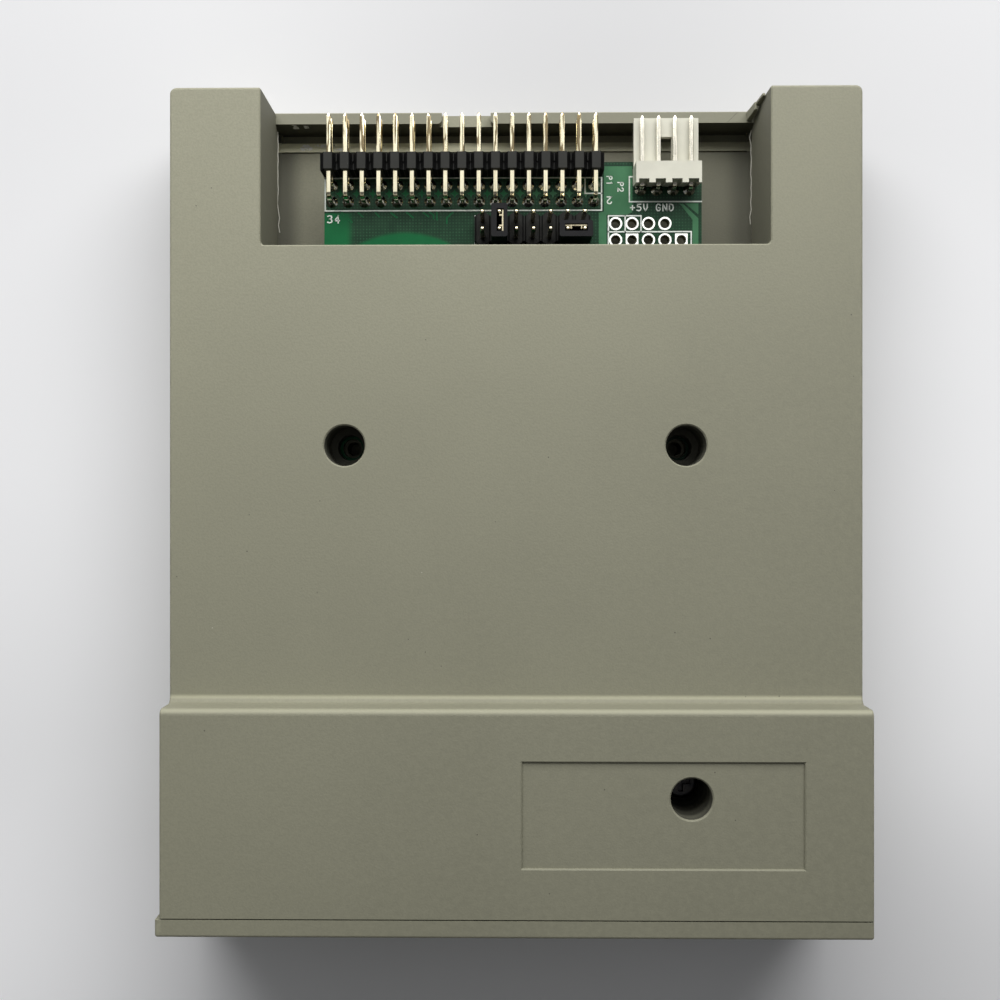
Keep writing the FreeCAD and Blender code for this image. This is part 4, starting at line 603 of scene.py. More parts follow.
@dataclass(frozen=True)
class BoardMask(Finish):
    """Green solder mask, glossy, over laminate whose weave shows, or over copper."""

    colour: Colour
    copper: Colour
    weave: float = 0.0
    core: Colour = (0.16, 0.15, 0.07)
    painted_lit_copper: Colour = (0.052, 0.160, 0.076)
    deep: Colour = (0.0, 0.02, 0.01)
    dust_colour: Colour = (0.35, 0.37, 0.33)
    top: float = 9.2
    under: float = 7.6
    pitch: float = 0.48

    def pour_and_painted_light(self, skin: Skin) -> Signal:
        """Mark the copper left of the signal header, and the painted light beyond the header's shadow.

        Args:
            skin: the material's nodes.

        Returns:
            1 over the copper.
        """
        x, y, _ = skin.place
        left = x.rise(-24.7, -26.3)
        # Painted light: the area before this curved edge is paler, where the header's shadow ends.
        lit_beyond_shadow = (y + 0.035 * (x + 17.0) * (x + 17.0)).rise(42.7, 41.9)
        return left.most(lit_beyond_shadow) * x.rise(-6.2, -7.4) * y.rise(45.5, 45.2)

    def paint(self, skin: Skin) -> None:
        """Fill in the nodes.

        Args:
            skin: the material's nodes.
        """
        x, y, z = skin.place
        warp = skin.maths("SINE", x * (math.tau / self.pitch)).rise(-0.3, 0.7)
        weft = skin.maths("SINE", y * (math.tau / self.pitch)).rise(-0.3, 0.7)
        threads = warp * weft * skin.noise(1.3, 2.0, 0.5).span(0.35, 0.6, 0.6, 1.2)
        cloud = skin.noise(3.0, 3.0, 0.6)
        base = skin.blend(cloud.rise(0.3, 0.7), tint(self.colour, 0.86), tint(self.colour, 1.14))
        base = skin.blend(threads * self.weave, base, tint(self.colour, 2.6))
        # Painted light: the copper is paler towards the right.
        copper_lit_to_right = skin.blend(x.rise(-6.0, 12.0), self.copper, self.painted_lit_copper)
        base = skin.blend(self.pour_and_painted_light(skin) if self.weave else 1.0, base, copper_lit_to_right)
        base = skin.blend(cloud.rise(0.62, 0.4) * 0.12, base, self.deep)
        base = skin.blend(z.within(self.under + 0.06, self.top - 0.06, 0.03), base, self.core)
        dust = skin.specks(0.8, 0.05, 0.14)
        base = skin.blend(dust * 0.4, base, self.dust_colour)
        skin.finish(base, 0.26 + 0.2 * cloud + 0.3 * dust, cloud + 0.12 * threads, 0.012,
                    Specular_IOR_Level=0.12)


@dataclass(frozen=True)
class Ink(Finish):
    """Screen printed ink, a little broken up."""

    colour: Colour = (0.70, 0.74, 0.68)

    def paint(self, skin: Skin) -> None:
        """Fill in the nodes.

        Args:
            skin: the material's nodes.
        """
        worn = skin.noise(0.35, 3.0, 0.7)
        base = skin.blend(worn.rise(0.5, 0.75), self.colour, tint(self.colour, 0.55))
        skin.finish(base, 0.55 + 0.2 * worn, worn, 0.006)


@dataclass(frozen=True)
class FloorPaint(Finish):
    """Pale matt table with painted shade, light and shadow, and a paler distance for the camera."""

    colour: Colour = (0.82, 0.82, 0.83)
    distance: Colour = (0.80, 0.80, 0.81)
    rear_shade_tint: float = 0.72
    shadow_behind_tint: float = 0.62
    front_left_light_tint: float = 1.13
    front_right_shade_tint: float = 0.9

    def paint(self, skin: Skin) -> None:
        """Fill in the nodes.

        Args:
            skin: the material's nodes.
        """
        x, y, _ = skin.place
        away = skin.maths("SQRT", x * x + y * y)
        cloud = skin.noise(60.0, 2.0, 0.5)
        base = skin.blend(cloud.rise(0.3, 0.7), tint(self.colour, 0.985), tint(self.colour, 1.015))
        # Painted shade: the table darkens towards the rear.
        base = skin.blend(y.rise(-20.0, 90.0), base, tint(self.colour, self.rear_shade_tint))
        # Painted shadow: a soft grey patch on the table behind the housing.
        behind = x.near(14.0, 75.0) * y.within(62.0, 110.0, 40.0)
        base = skin.blend(behind, base, tint(self.colour, self.shadow_behind_tint))
        # Painted light and shade: the table is paler at the front left and darker at the front right.
        front = y.rise(-35.0, -75.0)
        base = skin.blend(front * x.rise(-20.0, -75.0), base, tint(self.colour, self.front_left_light_tint))
        base = skin.blend(front * x.rise(20.0, 75.0), base, tint(self.colour, self.front_right_shade_tint))
        skin.finish(base, 0.8, None, Specular_IOR_Level=0.1)
        glow = skin.node("ShaderNodeEmission", None, {"Color": self.distance, "Strength": 1.0})
        mixed = skin.node("ShaderNodeMixShader", None,
                          {0: skin.seen() * away.rise(130.0, 420.0), 1: skin.shader.outputs[0],
                           2: glow.outputs[0]})
        skin.plug(skin.surface, mixed.outputs[0])


# The finishes of this object.
CASE_SCUFFS = (
    Scuff(-34.55, 59.75, 0.6, 0.4, 5.0, 6.9, 2.6),
    Scuff(-32.8, 59.75, 0.5, 0.4, 5.2, 6.6, 1.6),
    Scuff(-33.4, 57.6, 1.3, 0.7, 1.8, 2.2, 2.6),
    Scuff(-30.4, 57.9, 2.2, 0.35, 1.8, 2.2, 2.4),
    Scuff(-27.6, 57.3, 1.6, 0.3, 1.8, 2.2, 1.8),
)
SHELL_BORES = (
    Bore(-25.05, 8.8, 3.4, 19.8),
    Bore(25.05, 8.8, 3.4, 19.8),
    Bore(25.05, -41.7, 3.15, 24.85),
)
CASE_PLASTIC = HousingPlastic("case_plastic", bores=SHELL_BORES, bay=Bay())
COVER_PLASTIC = HousingPlastic("cover_plastic", scuffs=CASE_SCUFFS, bay=Bay())
BURR_PLASTIC = HousingPlastic("burr_plastic", (0.42, 0.41, 0.35))
BLACK_NYLON = Plastic("black_nylon", (0.0115, 0.0115, 0.0105), 0.5, specular=0.12)
# Both header strips get painted shade in their grooves.
GROOVED_NYLON = Plastic("grooved_nylon", (0.0105, 0.0105, 0.0095), 0.5, specular=0.1,
                        grooves=(-3.58, PIN_PITCH, (0.13, 0.27)))
HEADER_NYLON = Plastic("header_nylon", (0.021, 0.021, 0.0185), 0.5, specular=0.12,
                       grooves=(-27.03, PIN_PITCH, (0.08, 0.6)))
SHUNT_NYLON = Plastic("shunt_nylon", (0.006, 0.006, 0.0065), 0.46, specular=0.14)
WHITE_NYLON = Plastic("white_nylon", (0.51, 0.50, 0.42), 0.42, 0.05, grain_depth=0.004, dust=0.12)
EPOXY = Plastic("package_epoxy", (0.022, 0.022, 0.024), 0.55, grain=0.12, grain_depth=0.008)
MASK = BoardMask("solder_mask", (0.010, 0.036, 0.017), (0.004, 0.104, 0.032), 0.6)
COPPER_MASK = BoardMask("mask_over_copper", (0.004, 0.104, 0.032), (0.004, 0.104, 0.032), under=0.0)
INK = Ink("board_ink")
GILT = Metal("gilt_pins", (0.98, 0.91, 0.66), (0.42, 0.29, 0.12), 0.12, 0.12, Axis.ALONG, 1.8, 0.2, 0.3,
             0.0006, (53.4, 0.9))
UPRIGHT_GILT = Metal("upright_gilt", (0.88, 0.80, 0.58), (0.20, 0.14, 0.06), 0.17, 0.3, Axis.UPRIGHT, 1.6)
TIN = Metal("tinned_pins", (0.90, 0.86, 0.73), (0.30, 0.26, 0.18), 0.14, 0.15, Axis.ALONG, 1.8, 0.16, 0.3,
            0.0006, (53.4, 0.2))
# Painted shade: a dark ring stands for the shade inside the spare holes.
HOLE_SHADE = Metal("hole_shade", (0.05, 0.05, 0.045), (0.02, 0.02, 0.02), 0.6, 0.4, patch=0.6)
PAD_TIN = Metal("tinned_pads", (0.90, 0.90, 0.82), (0.6, 0.6, 0.56), 0.32, 0.15, patch=0.6)
SOLDER = Metal("solder", (0.42, 0.42, 0.38), (0.03, 0.03, 0.027), 0.15, 0.8, patch=0.5)
CONTACT_GILT = Metal("contact_gilt", (0.62, 0.55, 0.38), (0.12, 0.09, 0.04), 0.3, 0.5)
STEEL = Metal("nickel_steel", (0.62, 0.61, 0.58), (0.40, 0.38, 0.34), 0.3, 0.4, Axis.ALONG, 4.0)
BLACK_STEEL = Metal("black_steel", (0.06, 0.06, 0.065), (0.14, 0.12, 0.10), 0.42, 0.4)
CAN = Metal("aluminium_can", (0.80, 0.80, 0.81), (0.58, 0.58, 0.60), 0.34, 0.3, Axis.UPRIGHT, 3.0)
CERAMIC = Plastic("tan_ceramic", (0.42, 0.30, 0.18), 0.5, 0.1, grain=0.08, grain_depth=0.004)
GLAZE = Plastic("resistor_glaze", (0.014, 0.014, 0.018), 0.3, 0.2, grain=0.1, grain_depth=0.003)
MILKY = Plastic("milky_segments", (0.62, 0.60, 0.56), 0.4, 0.04, grain_depth=0.003, dust=0.05)
DISPLAY_FACE = Plastic("display_face", (0.020, 0.020, 0.021), 0.48, 0.08, grain_depth=0.003)
LENS = Plastic("lamp_resin", (0.30, 0.52, 0.26), 0.18, 0.08, grain_depth=0.001, dust=0.05, specular=0.5)
BUTTON_PLASTIC = Plastic("button_plastic", (0.016, 0.016, 0.017), 0.5, grain=0.2, grain_depth=0.008)
SWITCH_BASE = Plastic("switch_base", (0.018, 0.017, 0.017), 0.52)


class Bench:
    """Blender's own modelling operators, with the selection kept in order."""

    @staticmethod
    def clear() -> None:
        """Leave edit mode and deselect every object."""
        if bpy.context.object and bpy.context.object.mode != "OBJECT":
            bpy.ops.object.mode_set(mode="OBJECT")
        bpy.ops.object.select_all(action="DESELECT")

    @staticmethod
    def take(*pieces: bpy.types.Object) -> None:
        """Select only these pieces and make the first of them active.

        Args:
            pieces: what is selected.
        """
        Bench.clear()
        for piece in pieces:
            piece.select_set(True)
        bpy.context.view_layer.objects.active = pieces[0]

    @staticmethod
    def edit() -> None:
        """Open the active mesh in edit mode with all of it selected."""
        bpy.ops.object.mode_set(mode="EDIT")
        bpy.ops.mesh.select_mode(type="VERT")
        bpy.ops.mesh.select_all(action="SELECT")

    @staticmethod
    def sheet(middle: Point, width: float, depth: float) -> None:
        """Lay a flat rectangle and open it in edit mode.

        Args:
            middle: its middle in millimetres.
            width: its width across.
            depth: its length along.
        """
        Bench.clear()
        bpy.ops.mesh.primitive_plane_add(size=MM, location=[part * MM for part in middle])
        Bench.edit()
        Bench.scale(middle, width, depth)

    @staticmethod
    def scale(middle: Point, x: float = 1.0, y: float = 1.0, z: float = 1.0) -> None:
        """Scale what is selected about a point in millimetres."""
        bpy.ops.transform.resize(value=(x, y, z), center_override=[part * MM for part in middle])

    @staticmethod
    def pick(test: Callable[[Vector], bool], among: bool = False) -> None:
        """Select vertices of the mesh in edit mode by their place.

        Args:
            test: says of a place whether it is wanted.
            among: choose only from what is already selected.
        """
        data, world = bpy.context.edit_object.data, bpy.context.edit_object.matrix_world
        mesh = bmesh.from_edit_mesh(data)
        for vertex in mesh.verts:
            vertex.select = (vertex.select or not among) and test(world @ vertex.co)
        mesh.select_flush_mode()
        bmesh.update_edit_mesh(data)

    @staticmethod
    def pull(x: float = 0.0, y: float = 0.0, z: float = 0.0) -> None:
        """Extrude what is selected by a distance in millimetres."""
        bpy.ops.mesh.extrude_region_move(TRANSFORM_OT_translate={"value": (x * MM, y * MM, z * MM)})

    @staticmethod
    def close(bevel: float = 0.0) -> bpy.types.Object:
        """Leave edit mode with doubles merged and faces outwards, and break the edges.

        Args:
            bevel: width of the broken edges in millimetres, or 0 to leave them sharp.

        Returns:
            The piece.
        """
        bpy.ops.mesh.select_all(action="SELECT")
        bpy.ops.mesh.remove_doubles(threshold=1e-7)
        bpy.ops.mesh.normals_make_consistent(inside=False)
        bpy.ops.object.mode_set(mode="OBJECT")
        piece = bpy.context.object
        if bevel:
            modifier = piece.modifiers.new("edges", "BEVEL")
            modifier.width = bevel * MM
            modifier.segments = 2
            modifier.limit_method = "ANGLE"
            modifier.angle_limit = math.radians(40.0)
            bpy.ops.object.modifier_apply(modifier="edges")
        bpy.ops.object.shade_smooth_by_angle(angle=math.radians(17.0))
        return Bench.settle(piece)

    @staticmethod
    def settle(piece: bpy.types.Object) -> bpy.types.Object:
        """Move a piece's place into its mesh.

        Args:
            piece: what is settled.

        Returns:
            The same piece.
        """
        Bench.take(piece)
        bpy.ops.object.transform_apply(location=True, rotation=True, scale=True)
        return piece

    @staticmethod
    def copies(piece: bpy.types.Object, count: int, step: float) -> list[bpy.types.Object]:
        """Repeat a piece along x, each copy with its own mesh.

        Args:
            piece: the first of the row.
            count: how many there are in all.
            step: distance between them in millimetres.

        Returns:
            The whole row.
        """
        row = [piece]
        for index in range(1, count):
            Bench.take(piece)
            bpy.ops.object.duplicate(linked=False)
            bpy.context.object.location.x = index * step * MM
            row.append(Bench.settle(bpy.context.object))
        return row

    @staticmethod
    def join(name: str, pieces: Sequence[bpy.types.Object]) -> bpy.types.Object:
        """Join pieces into one object with a name.

        Args:
            name: the name.
            pieces: what is joined.

        Returns:
            The one object.
        """
        Bench.take(*pieces)
        if len(pieces) > 1:
            bpy.ops.object.join()
        joined = bpy.context.object
        joined.name = joined.data.name = name
        return joined


@dataclass(frozen=True)
class PinStock:
    """Square wire for header pins, with worn edges and pointed ends."""

    side: float = 0.64
    tip: float = 0.22
    tip_length: float = 0.55
    bend: float = 0.3
    edge: float = 0.1

    def narrow(self, middle: Point) -> None:
        """Shrink the end face about its middle."""
        share = self.tip / self.side
        Bench.scale(middle, share, share, share)

    def upright(self, x: float, y: float, foot: float, top: float) -> bpy.types.Object:
        """Make a straight pin.

        Args:
            x: its place across.
            y: its place along.
            foot: height of its lower end.
            top: height of its point.

        Returns:
            The pin.
        """
        Bench.sheet((x, y, foot), self.side, self.side)
        Bench.pull(z=top - self.tip_length - foot)
        Bench.pull(z=self.tip_length)
        self.narrow((x, y, top))
        return Bench.close(self.edge)

    def angled(self, x: float, leg: float, foot: float, level: float, end: float) -> bpy.types.Object:
        """Make a pin that rises from the board and turns to the rear.

        Args:
            x: its place across.
            leg: its place along, in the board.
            foot: height of its lower end.
            level: height of its middle after the bend.
            end: place of its point along.

        Returns:
            The pin.
        """
        radius = self.bend + self.side / 2
        Bench.sheet((x, leg, foot), self.side, self.side)
        Bench.pull(z=level - radius - foot)
        centre = (x * MM, (leg + radius) * MM, (level - radius) * MM)
        bpy.ops.mesh.spin(steps=6, angle=math.pi / 2, center=centre, axis=(1, 0, 0))
        Bench.pull(y=end - self.tip_length - leg - radius)
        Bench.pull(y=self.tip_length)
        self.narrow((x, end, level))
        return Bench.close(self.edge)


# Strokes of a plotter's pen, as shares of a character's height.
STROKES = {
    "2": (((0.0, 0.78), (0.12, 0.95), (0.3, 1.0), (0.5, 0.95), (0.6, 0.75), (0.55, 0.55), (0.0, 0.0)),
          ((0.0, 0.0), (0.62, 0.0))),
    "3": (((0.02, 0.9), (0.25, 1.0), (0.48, 0.94), (0.57, 0.76), (0.46, 0.58), (0.25, 0.53)),
          ((0.25, 0.53), (0.5, 0.45), (0.6, 0.26), (0.5, 0.07), (0.28, 0.0), (0.0, 0.1))),
    "4": (((0.45, 0.0), (0.45, 1.0)), ((0.45, 0.97), (0.0, 0.33)), ((0.0, 0.31), (0.62, 0.31))),
    "5": (((0.56, 1.0), (0.08, 1.0)), ((0.08, 1.0), (0.05, 0.56)),
          ((0.05, 0.56), (0.3, 0.64), (0.52, 0.55), (0.6, 0.33), (0.52, 0.1), (0.28, 0.0), (0.0, 0.08))),
    "+": (((0.0, 0.48), (0.6, 0.48)), ((0.3, 0.17), (0.3, 0.79))),
    "V": (((0.02, 1.0), (0.04, 0.45), (0.3, 0.02)), ((0.58, 1.0), (0.56, 0.45), (0.3, 0.02))),
    "G": (((0.6, 0.85), (0.45, 0.98), (0.2, 1.0), (0.03, 0.8), (0.0, 0.5), (0.04, 0.18), (0.22, 0.0),
           (0.48, 0.02), (0.6, 0.2), (0.6, 0.46)), ((0.6, 0.46), (0.34, 0.46))),
    "1": (((0.16, 0.86), (0.32, 1.0)), ((0.32, 1.0), (0.32, 0.0))),
    "P": (((0.0, 0.0), (0.0, 1.0)), ((0.0, 1.0), (0.4, 1.0), (0.58, 0.88), (0.58, 0.62), (0.4, 0.48),
                                     (0.0, 0.48))),
    "N": (((0.0, 0.0), (0.0, 1.0)), ((0.02, 0.98), (0.58, 0.02)), ((0.6, 0.0), (0.6, 1.0))),
    "D": (((0.0, 0.0), (0.0, 1.0)), ((0.0, 1.0), (0.3, 1.0), (0.52, 0.85), (0.6, 0.5), (0.52, 0.15),
                                     (0.3, 0.0), (0.0, 0.0))),
}


def circle(radius: float) -> tuple[Place, ...]:
    """Outline of a circle about the origin."""
    turns = [math.tau * step / 32 for step in range(32)]
    return tuple((radius * math.cos(turn), radius * math.sin(turn)) for turn in turns)


def square(half: float) -> tuple[Place, ...]:
    """Outline of a square about the origin."""
    return ((-half, -half), (half, -half), (half, half), (-half, half))


@dataclass(frozen=True)
class Lettering:
    """Plain characters: the lower left corner of the first, height, share of the stroke, turn."""

    text: str
    corner: Place
    height: float
    share: float = 1.0
    angle: float = 0.0


class FlatWork:
    """Thin flat lines and plates on one level, modelled in edit mode."""

    def __init__(self, name: str, level: float, thickness: float) -> None:
        """Start an empty mesh.

        Args:
            name: name of the piece.
            level: height of its underside in millimetres.
            thickness: thickness in millimetres.
        """
        self.name = name
        self.level = level * MM
        self.thickness = thickness
        self.plates: list[bpy.types.Object] = []
        self.drawn = False
        Bench.clear()
        bpy.ops.mesh.primitive_plane_add(size=MM)
        self.piece = bpy.context.object
        Bench.edit()
        bpy.ops.mesh.delete(type="VERT")

    def line(self, route: Sequence[Place], width: float) -> None:
        """Draw a line with square ends and mitred corners.

        Args:
            route: its points in millimetres.
            width: its width in millimetres.
        """
        points = [Vector((x * MM, y * MM, self.level)) for x, y in route]
        steps = [after - before for before, after in zip(points, points[1:])]
        angles = [math.atan2(step.y, step.x) for step in steps]
        heading = steps[0].normalized()
        half = width * MM / 2
        self.drawn = True
        bpy.ops.mesh.select_all(action="DESELECT")
        bpy.ops.mesh.primitive_plane_add(size=2 * half, location=points[0], rotation=(0, 0, angles[0]))
        # Only the front edge of the new square is drawn out.
        Bench.pick(lambda place: (place - points[0]).dot(heading) > 0, among=True)
        # Each end is turned half way into the next stretch and widened, so that the line keeps its width.
        turned, grown = 0.0, 1.0
        centre = points[0] + heading * half
        for index, point in enumerate(points[1:]):
            last = index == len(steps) - 1
            goal = point + steps[index].normalized() * half if last else point
            bpy.ops.mesh.extrude_region_move(TRANSFORM_OT_translate={"value": goal - centre})
            bend = 0.0 if last else math.remainder(angles[index + 1] - angles[index], math.tau) / 2
            facing = angles[index] - angles[0] + bend
            stretch = 1.0 / math.cos(bend)
            bpy.ops.transform.rotate(value=-math.remainder(facing - turned, math.tau), orient_axis="Z",
                                     center_override=goal)
            bpy.ops.transform.resize(value=(stretch / grown,) * 3, center_override=goal)
            turned, grown, centre = facing, stretch, goal

    def plate(self, outline: Sequence[Place]) -> None:
        """Add a flat plate.

        Args:
            outline: its corners in millimetres.
        """
        curve = bpy.data.curves.new(self.name, "CURVE")
        curve.dimensions = "2D"
        curve.fill_mode = "BOTH"
        curve.extrude = self.thickness * MM / 2
        spline = curve.splines.new("POLY")
        spline.points.add(len(outline) - 1)
        for point, (x, y) in zip(spline.points, outline):
            point.co = (x * MM, y * MM, 0.0, 1.0)
        spline.use_cyclic_u = True
        made = bpy.data.objects.new(self.name, curve)
        bpy.context.collection.objects.link(made)
        made.location.z = self.level + self.thickness * MM / 2
        self.plates.append(made)

    def word(self, word: Lettering, width: float, spacing: float = 1.01) -> None:
        """Draw plain characters with the strokes of a plotter.

        Args:
            word: the characters and their place.
            width: width of a full stroke in millimetres.
            spacing: distance between characters, as a share of their height.
        """
        left, low = word.corner
        cosine, sine = math.cos(math.radians(word.angle)), math.sin(math.radians(word.angle))
        for index, character in enumerate(word.text):
            for stroke in STROKES[character]:
                places = [((across + spacing * index) * word.height, up * word.height)
                          for across, up in stroke]
                self.line([(left + a * cosine - b * sine, low + a * sine + b * cosine) for a, b in places],
                          width * word.share)

    def pad(self, x: float, y: float, outline: Sequence[Place], hole: float) -> None:
        """Add a plate with a round hole in its middle.

        Args:
            x: its place across.
            y: its place along.
            outline: its corners about its middle.
            hole: radius of the hole.
        """
        self.plate([(x + across, y + along) for across, along in outline])
        spline = self.plates[-1].data.splines.new("POLY")
        edge = circle(1.0)
        spline.points.add(len(edge) - 1)
        for point, (across, along) in zip(spline.points, edge):
            point.co = ((x + hole * across) * MM, (y + hole * along) * MM, 0.0, 1.0)
        spline.use_cyclic_u = True

    def done(self) -> bpy.types.Object:
        """Give the lines their thickness and join all into one piece.

        Returns:
            The finished piece.
        """
        bpy.ops.mesh.select_all(action="SELECT")
        if self.drawn:
            Bench.pull(z=self.thickness)
        bpy.ops.mesh.select_all(action="SELECT")
        bpy.ops.mesh.normals_make_consistent(inside=False)
        bpy.ops.object.mode_set(mode="OBJECT")
        for made in self.plates:
            Bench.take(made)
            bpy.ops.object.convert(target="MESH")
            Bench.settle(bpy.context.object)
        return Bench.join(self.name, [self.piece, *self.plates])


class Assembly:
    """A sub-assembly: finishes on its CAD nodes, and pieces of its own."""

    def __post_init__(self) -> None:
        """Start with nothing dressed."""
        self.pieces: list[str] = []

    def dress(self, finish: Finish, *nodes: str) -> None:
        """Give CAD nodes a finish.

        Args:
            finish: the finish.
            nodes: names of the nodes.
        """
        for name in nodes:
            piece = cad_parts[name]
            if not piece.data.materials:
                piece.data.materials.append(finish.material())
            for slot in piece.material_slots:
                slot.material = finish.material()
            self.pieces.append(name)

    def add(self, piece: bpy.types.Object, finish: Finish, slot: str, *replaced: str) -> None:
        """Take in a new piece.

        Args:
            piece: the piece.
            finish: its finish.
            slot: not used.
            replaced: names of the CAD nodes that it stands for.
        """
        piece.data.materials.clear()
        piece.data.materials.append(finish.material())
        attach(piece, BODY)
        if replaced:
            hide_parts(*replaced)
            for name in replaced:
                self.dress(finish, name)
        self.pieces.append(piece.name)

    def build(self) -> None:
        """Build and dress the sub-assembly."""
        raise NotImplementedError

    def report(self) -> None:
        """Log each piece."""
        for name in self.pieces:
            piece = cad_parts.get(name) or bpy.data.objects[name]
            log.info("%s: %s, %d faces", type(self).__name__, name, len(piece.data.polygons))


# How far the flash stands off each side wall, from the rear to the front.
FLASH_WAVES = {
    -1: (0.0, 0.0, 0.08, 0.0, 0.05, 0.0, 0.04, 0.0, 0.08, 0.0, -0.05, 0.1, 0.28, 0.1, 0.3),
    1: (0.0, 0.3, 0.05, 0.1, 0.0, 0.05, 0.1, 0.0, 0.06, 0.0, 0.12, 0.02, 0.25, 0.15),
}


@dataclass
class Housing(Assembly):
    """Both covers, their screw, and what wear and moulding left on them."""

    wall: float = 37.4
    foot: float = 5.8
    flash_width: float = 0.12
    flash_sunk: Pair = (0.04, 0.05)
    flash_start: float = 59.0
    flash_step: float = 1.13
    rim_top: float = 7.5

    def flash(self) -> None:
        """Wavy thread of flash along the feet of the skirts."""
        beside, below = self.flash_sunk
        work = FlatWork("skirt_flash", self.foot - below, self.flash_width)
        for side, waves in FLASH_WAVES.items():
            work.line([(side * (self.wall - beside - wave), self.flash_start - self.flash_step * index)
                       for index, wave in enumerate(waves)], self.flash_width)
        self.add(work.done(), BURR_PLASTIC, "case_plastic")

    def shard(self, name: str, low: Point, high: Point, lean: float) -> bpy.types.Object:
        """Make a broken stub of the cut wall.

        Args:
            name: its name.
            low: its lowest corner.
            high: its highest corner.
            lean: how far its top leans across.

        Returns:
            The stub.
        """
        x, y = (low[0] + high[0]) / 2, (low[1] + high[1]) / 2
        Bench.sheet((x, y, low[2]), high[0] - low[0], high[1] - low[1])
        rise = (high[2] - low[2]) / 3
        for index, (step, size) in enumerate(((0.5, 1.0), (0.2, 0.86), (0.3, 0.7))):
            Bench.pull(x=lean * step, y=0.035 * index, z=rise)
            Bench.scale((x + lean * step, y, 0.0), size, 0.94)
        piece = Bench.close(0.1)
        piece.name = piece.data.name = name
        return piece

    def build(self) -> None:
        """Dress the covers and the screw, and add flash and broken stubs."""
        self.dress(CASE_PLASTIC, "bottom_cover")
        self.dress(COVER_PLASTIC, "top_cover")
        self.dress(BLACK_STEEL, "case_screw")
        self.flash()
        self.add(self.shard("broken_stub_low", (36.25, 60.0, self.rim_top), (37.1, 61.42, 12.5), 0.15),
                 COVER_PLASTIC, "case_plastic")
        self.add(self.shard("broken_stub_high", (36.7, 60.9, 11.9), (37.39, 61.44, 16.3), 0.1),
                 COVER_PLASTIC, "case_plastic")


# Outlines and routes on the board, in millimetres.
TRACKS = (
    ((-26.75, 45.42), (-25.21, 43.98)),
    ((-24.16, 45.38), (-23.56, 44.83)),
    ((-21.51, 45.38), (-20.96, 44.83)),
    ((-19.11, 45.38), (-18.21, 44.67)),
    ((-16.71, 45.48), (-15.71, 44.67)),
    ((-14.06, 45.38), (-13.31, 44.83)),
    ((-13.11, 45.48), (-12.51, 45.02), (-12.51, 44.52)),
    ((-12.01, 45.48), (-12.01, 44.33)),
    ((-9.51, 45.48), (-10.46, 44.62), (-10.46, 43.77)),
)
COPPER = (
    ((13.89, 52.52), (18.29, 52.52), (18.29, 45.42), (17.59, 45.12), (17.59, 45.02), (14.29, 45.02),
     (14.29, 39.62), (13.09, 39.62), (13.09, 45.33), (13.89, 45.52)),
    ((26.49, 46.73), (28.49, 46.73), (28.49, 45.02)),
    ((25.59, 46.73), (26.19, 46.62), (28.49, 44.42), (28.49, 39.62), (27.59, 39.62), (27.59, 44.23)),
)
PRINTED = (
    ((-29.36, 50.77), (13.52, 50.77), (13.52, 45.73), (-29.36, 45.73), (-29.36, 50.88)),
    ((10.97, 50.77), (10.97, 48.34), (13.52, 48.34)),
    ((-6.06, 44.88), (-6.06, 39.62)),
    ((18.59, 50.88), (17.82, 50.88), (17.82, 47.02), (28.96, 47.02)),
    ((14.58, 39.62), (14.58, 44.84), (19.62, 44.84), (19.62, 42.37)),
    ((14.58, 42.37), (27.38, 42.37), (27.38, 39.62)),
    ((17.17, 44.84), (17.17, 42.37)),
)
LETTERING = (
    Lettering("34", (-28.98, 43.87), 1.12),
    Lettering("+5V", (18.0, 45.62), 1.0),
    Lettering("GND", (21.99, 45.62), 1.0),
    Lettering("2", (15.05, 47.78), 1.06, angle=180.0),
    Lettering("P1", (14.35, 50.95), 0.78, 0.85, -90.0),
    Lettering("P2", (16.05, 50.0), 0.84, 0.85, -90.0),
)
# Rows of spare holes: their place along, how many there are, and which of them have a square pad.
SPARE_ROWS = ((43.65, 4, ()), (41.11, 5, (1, 4)))


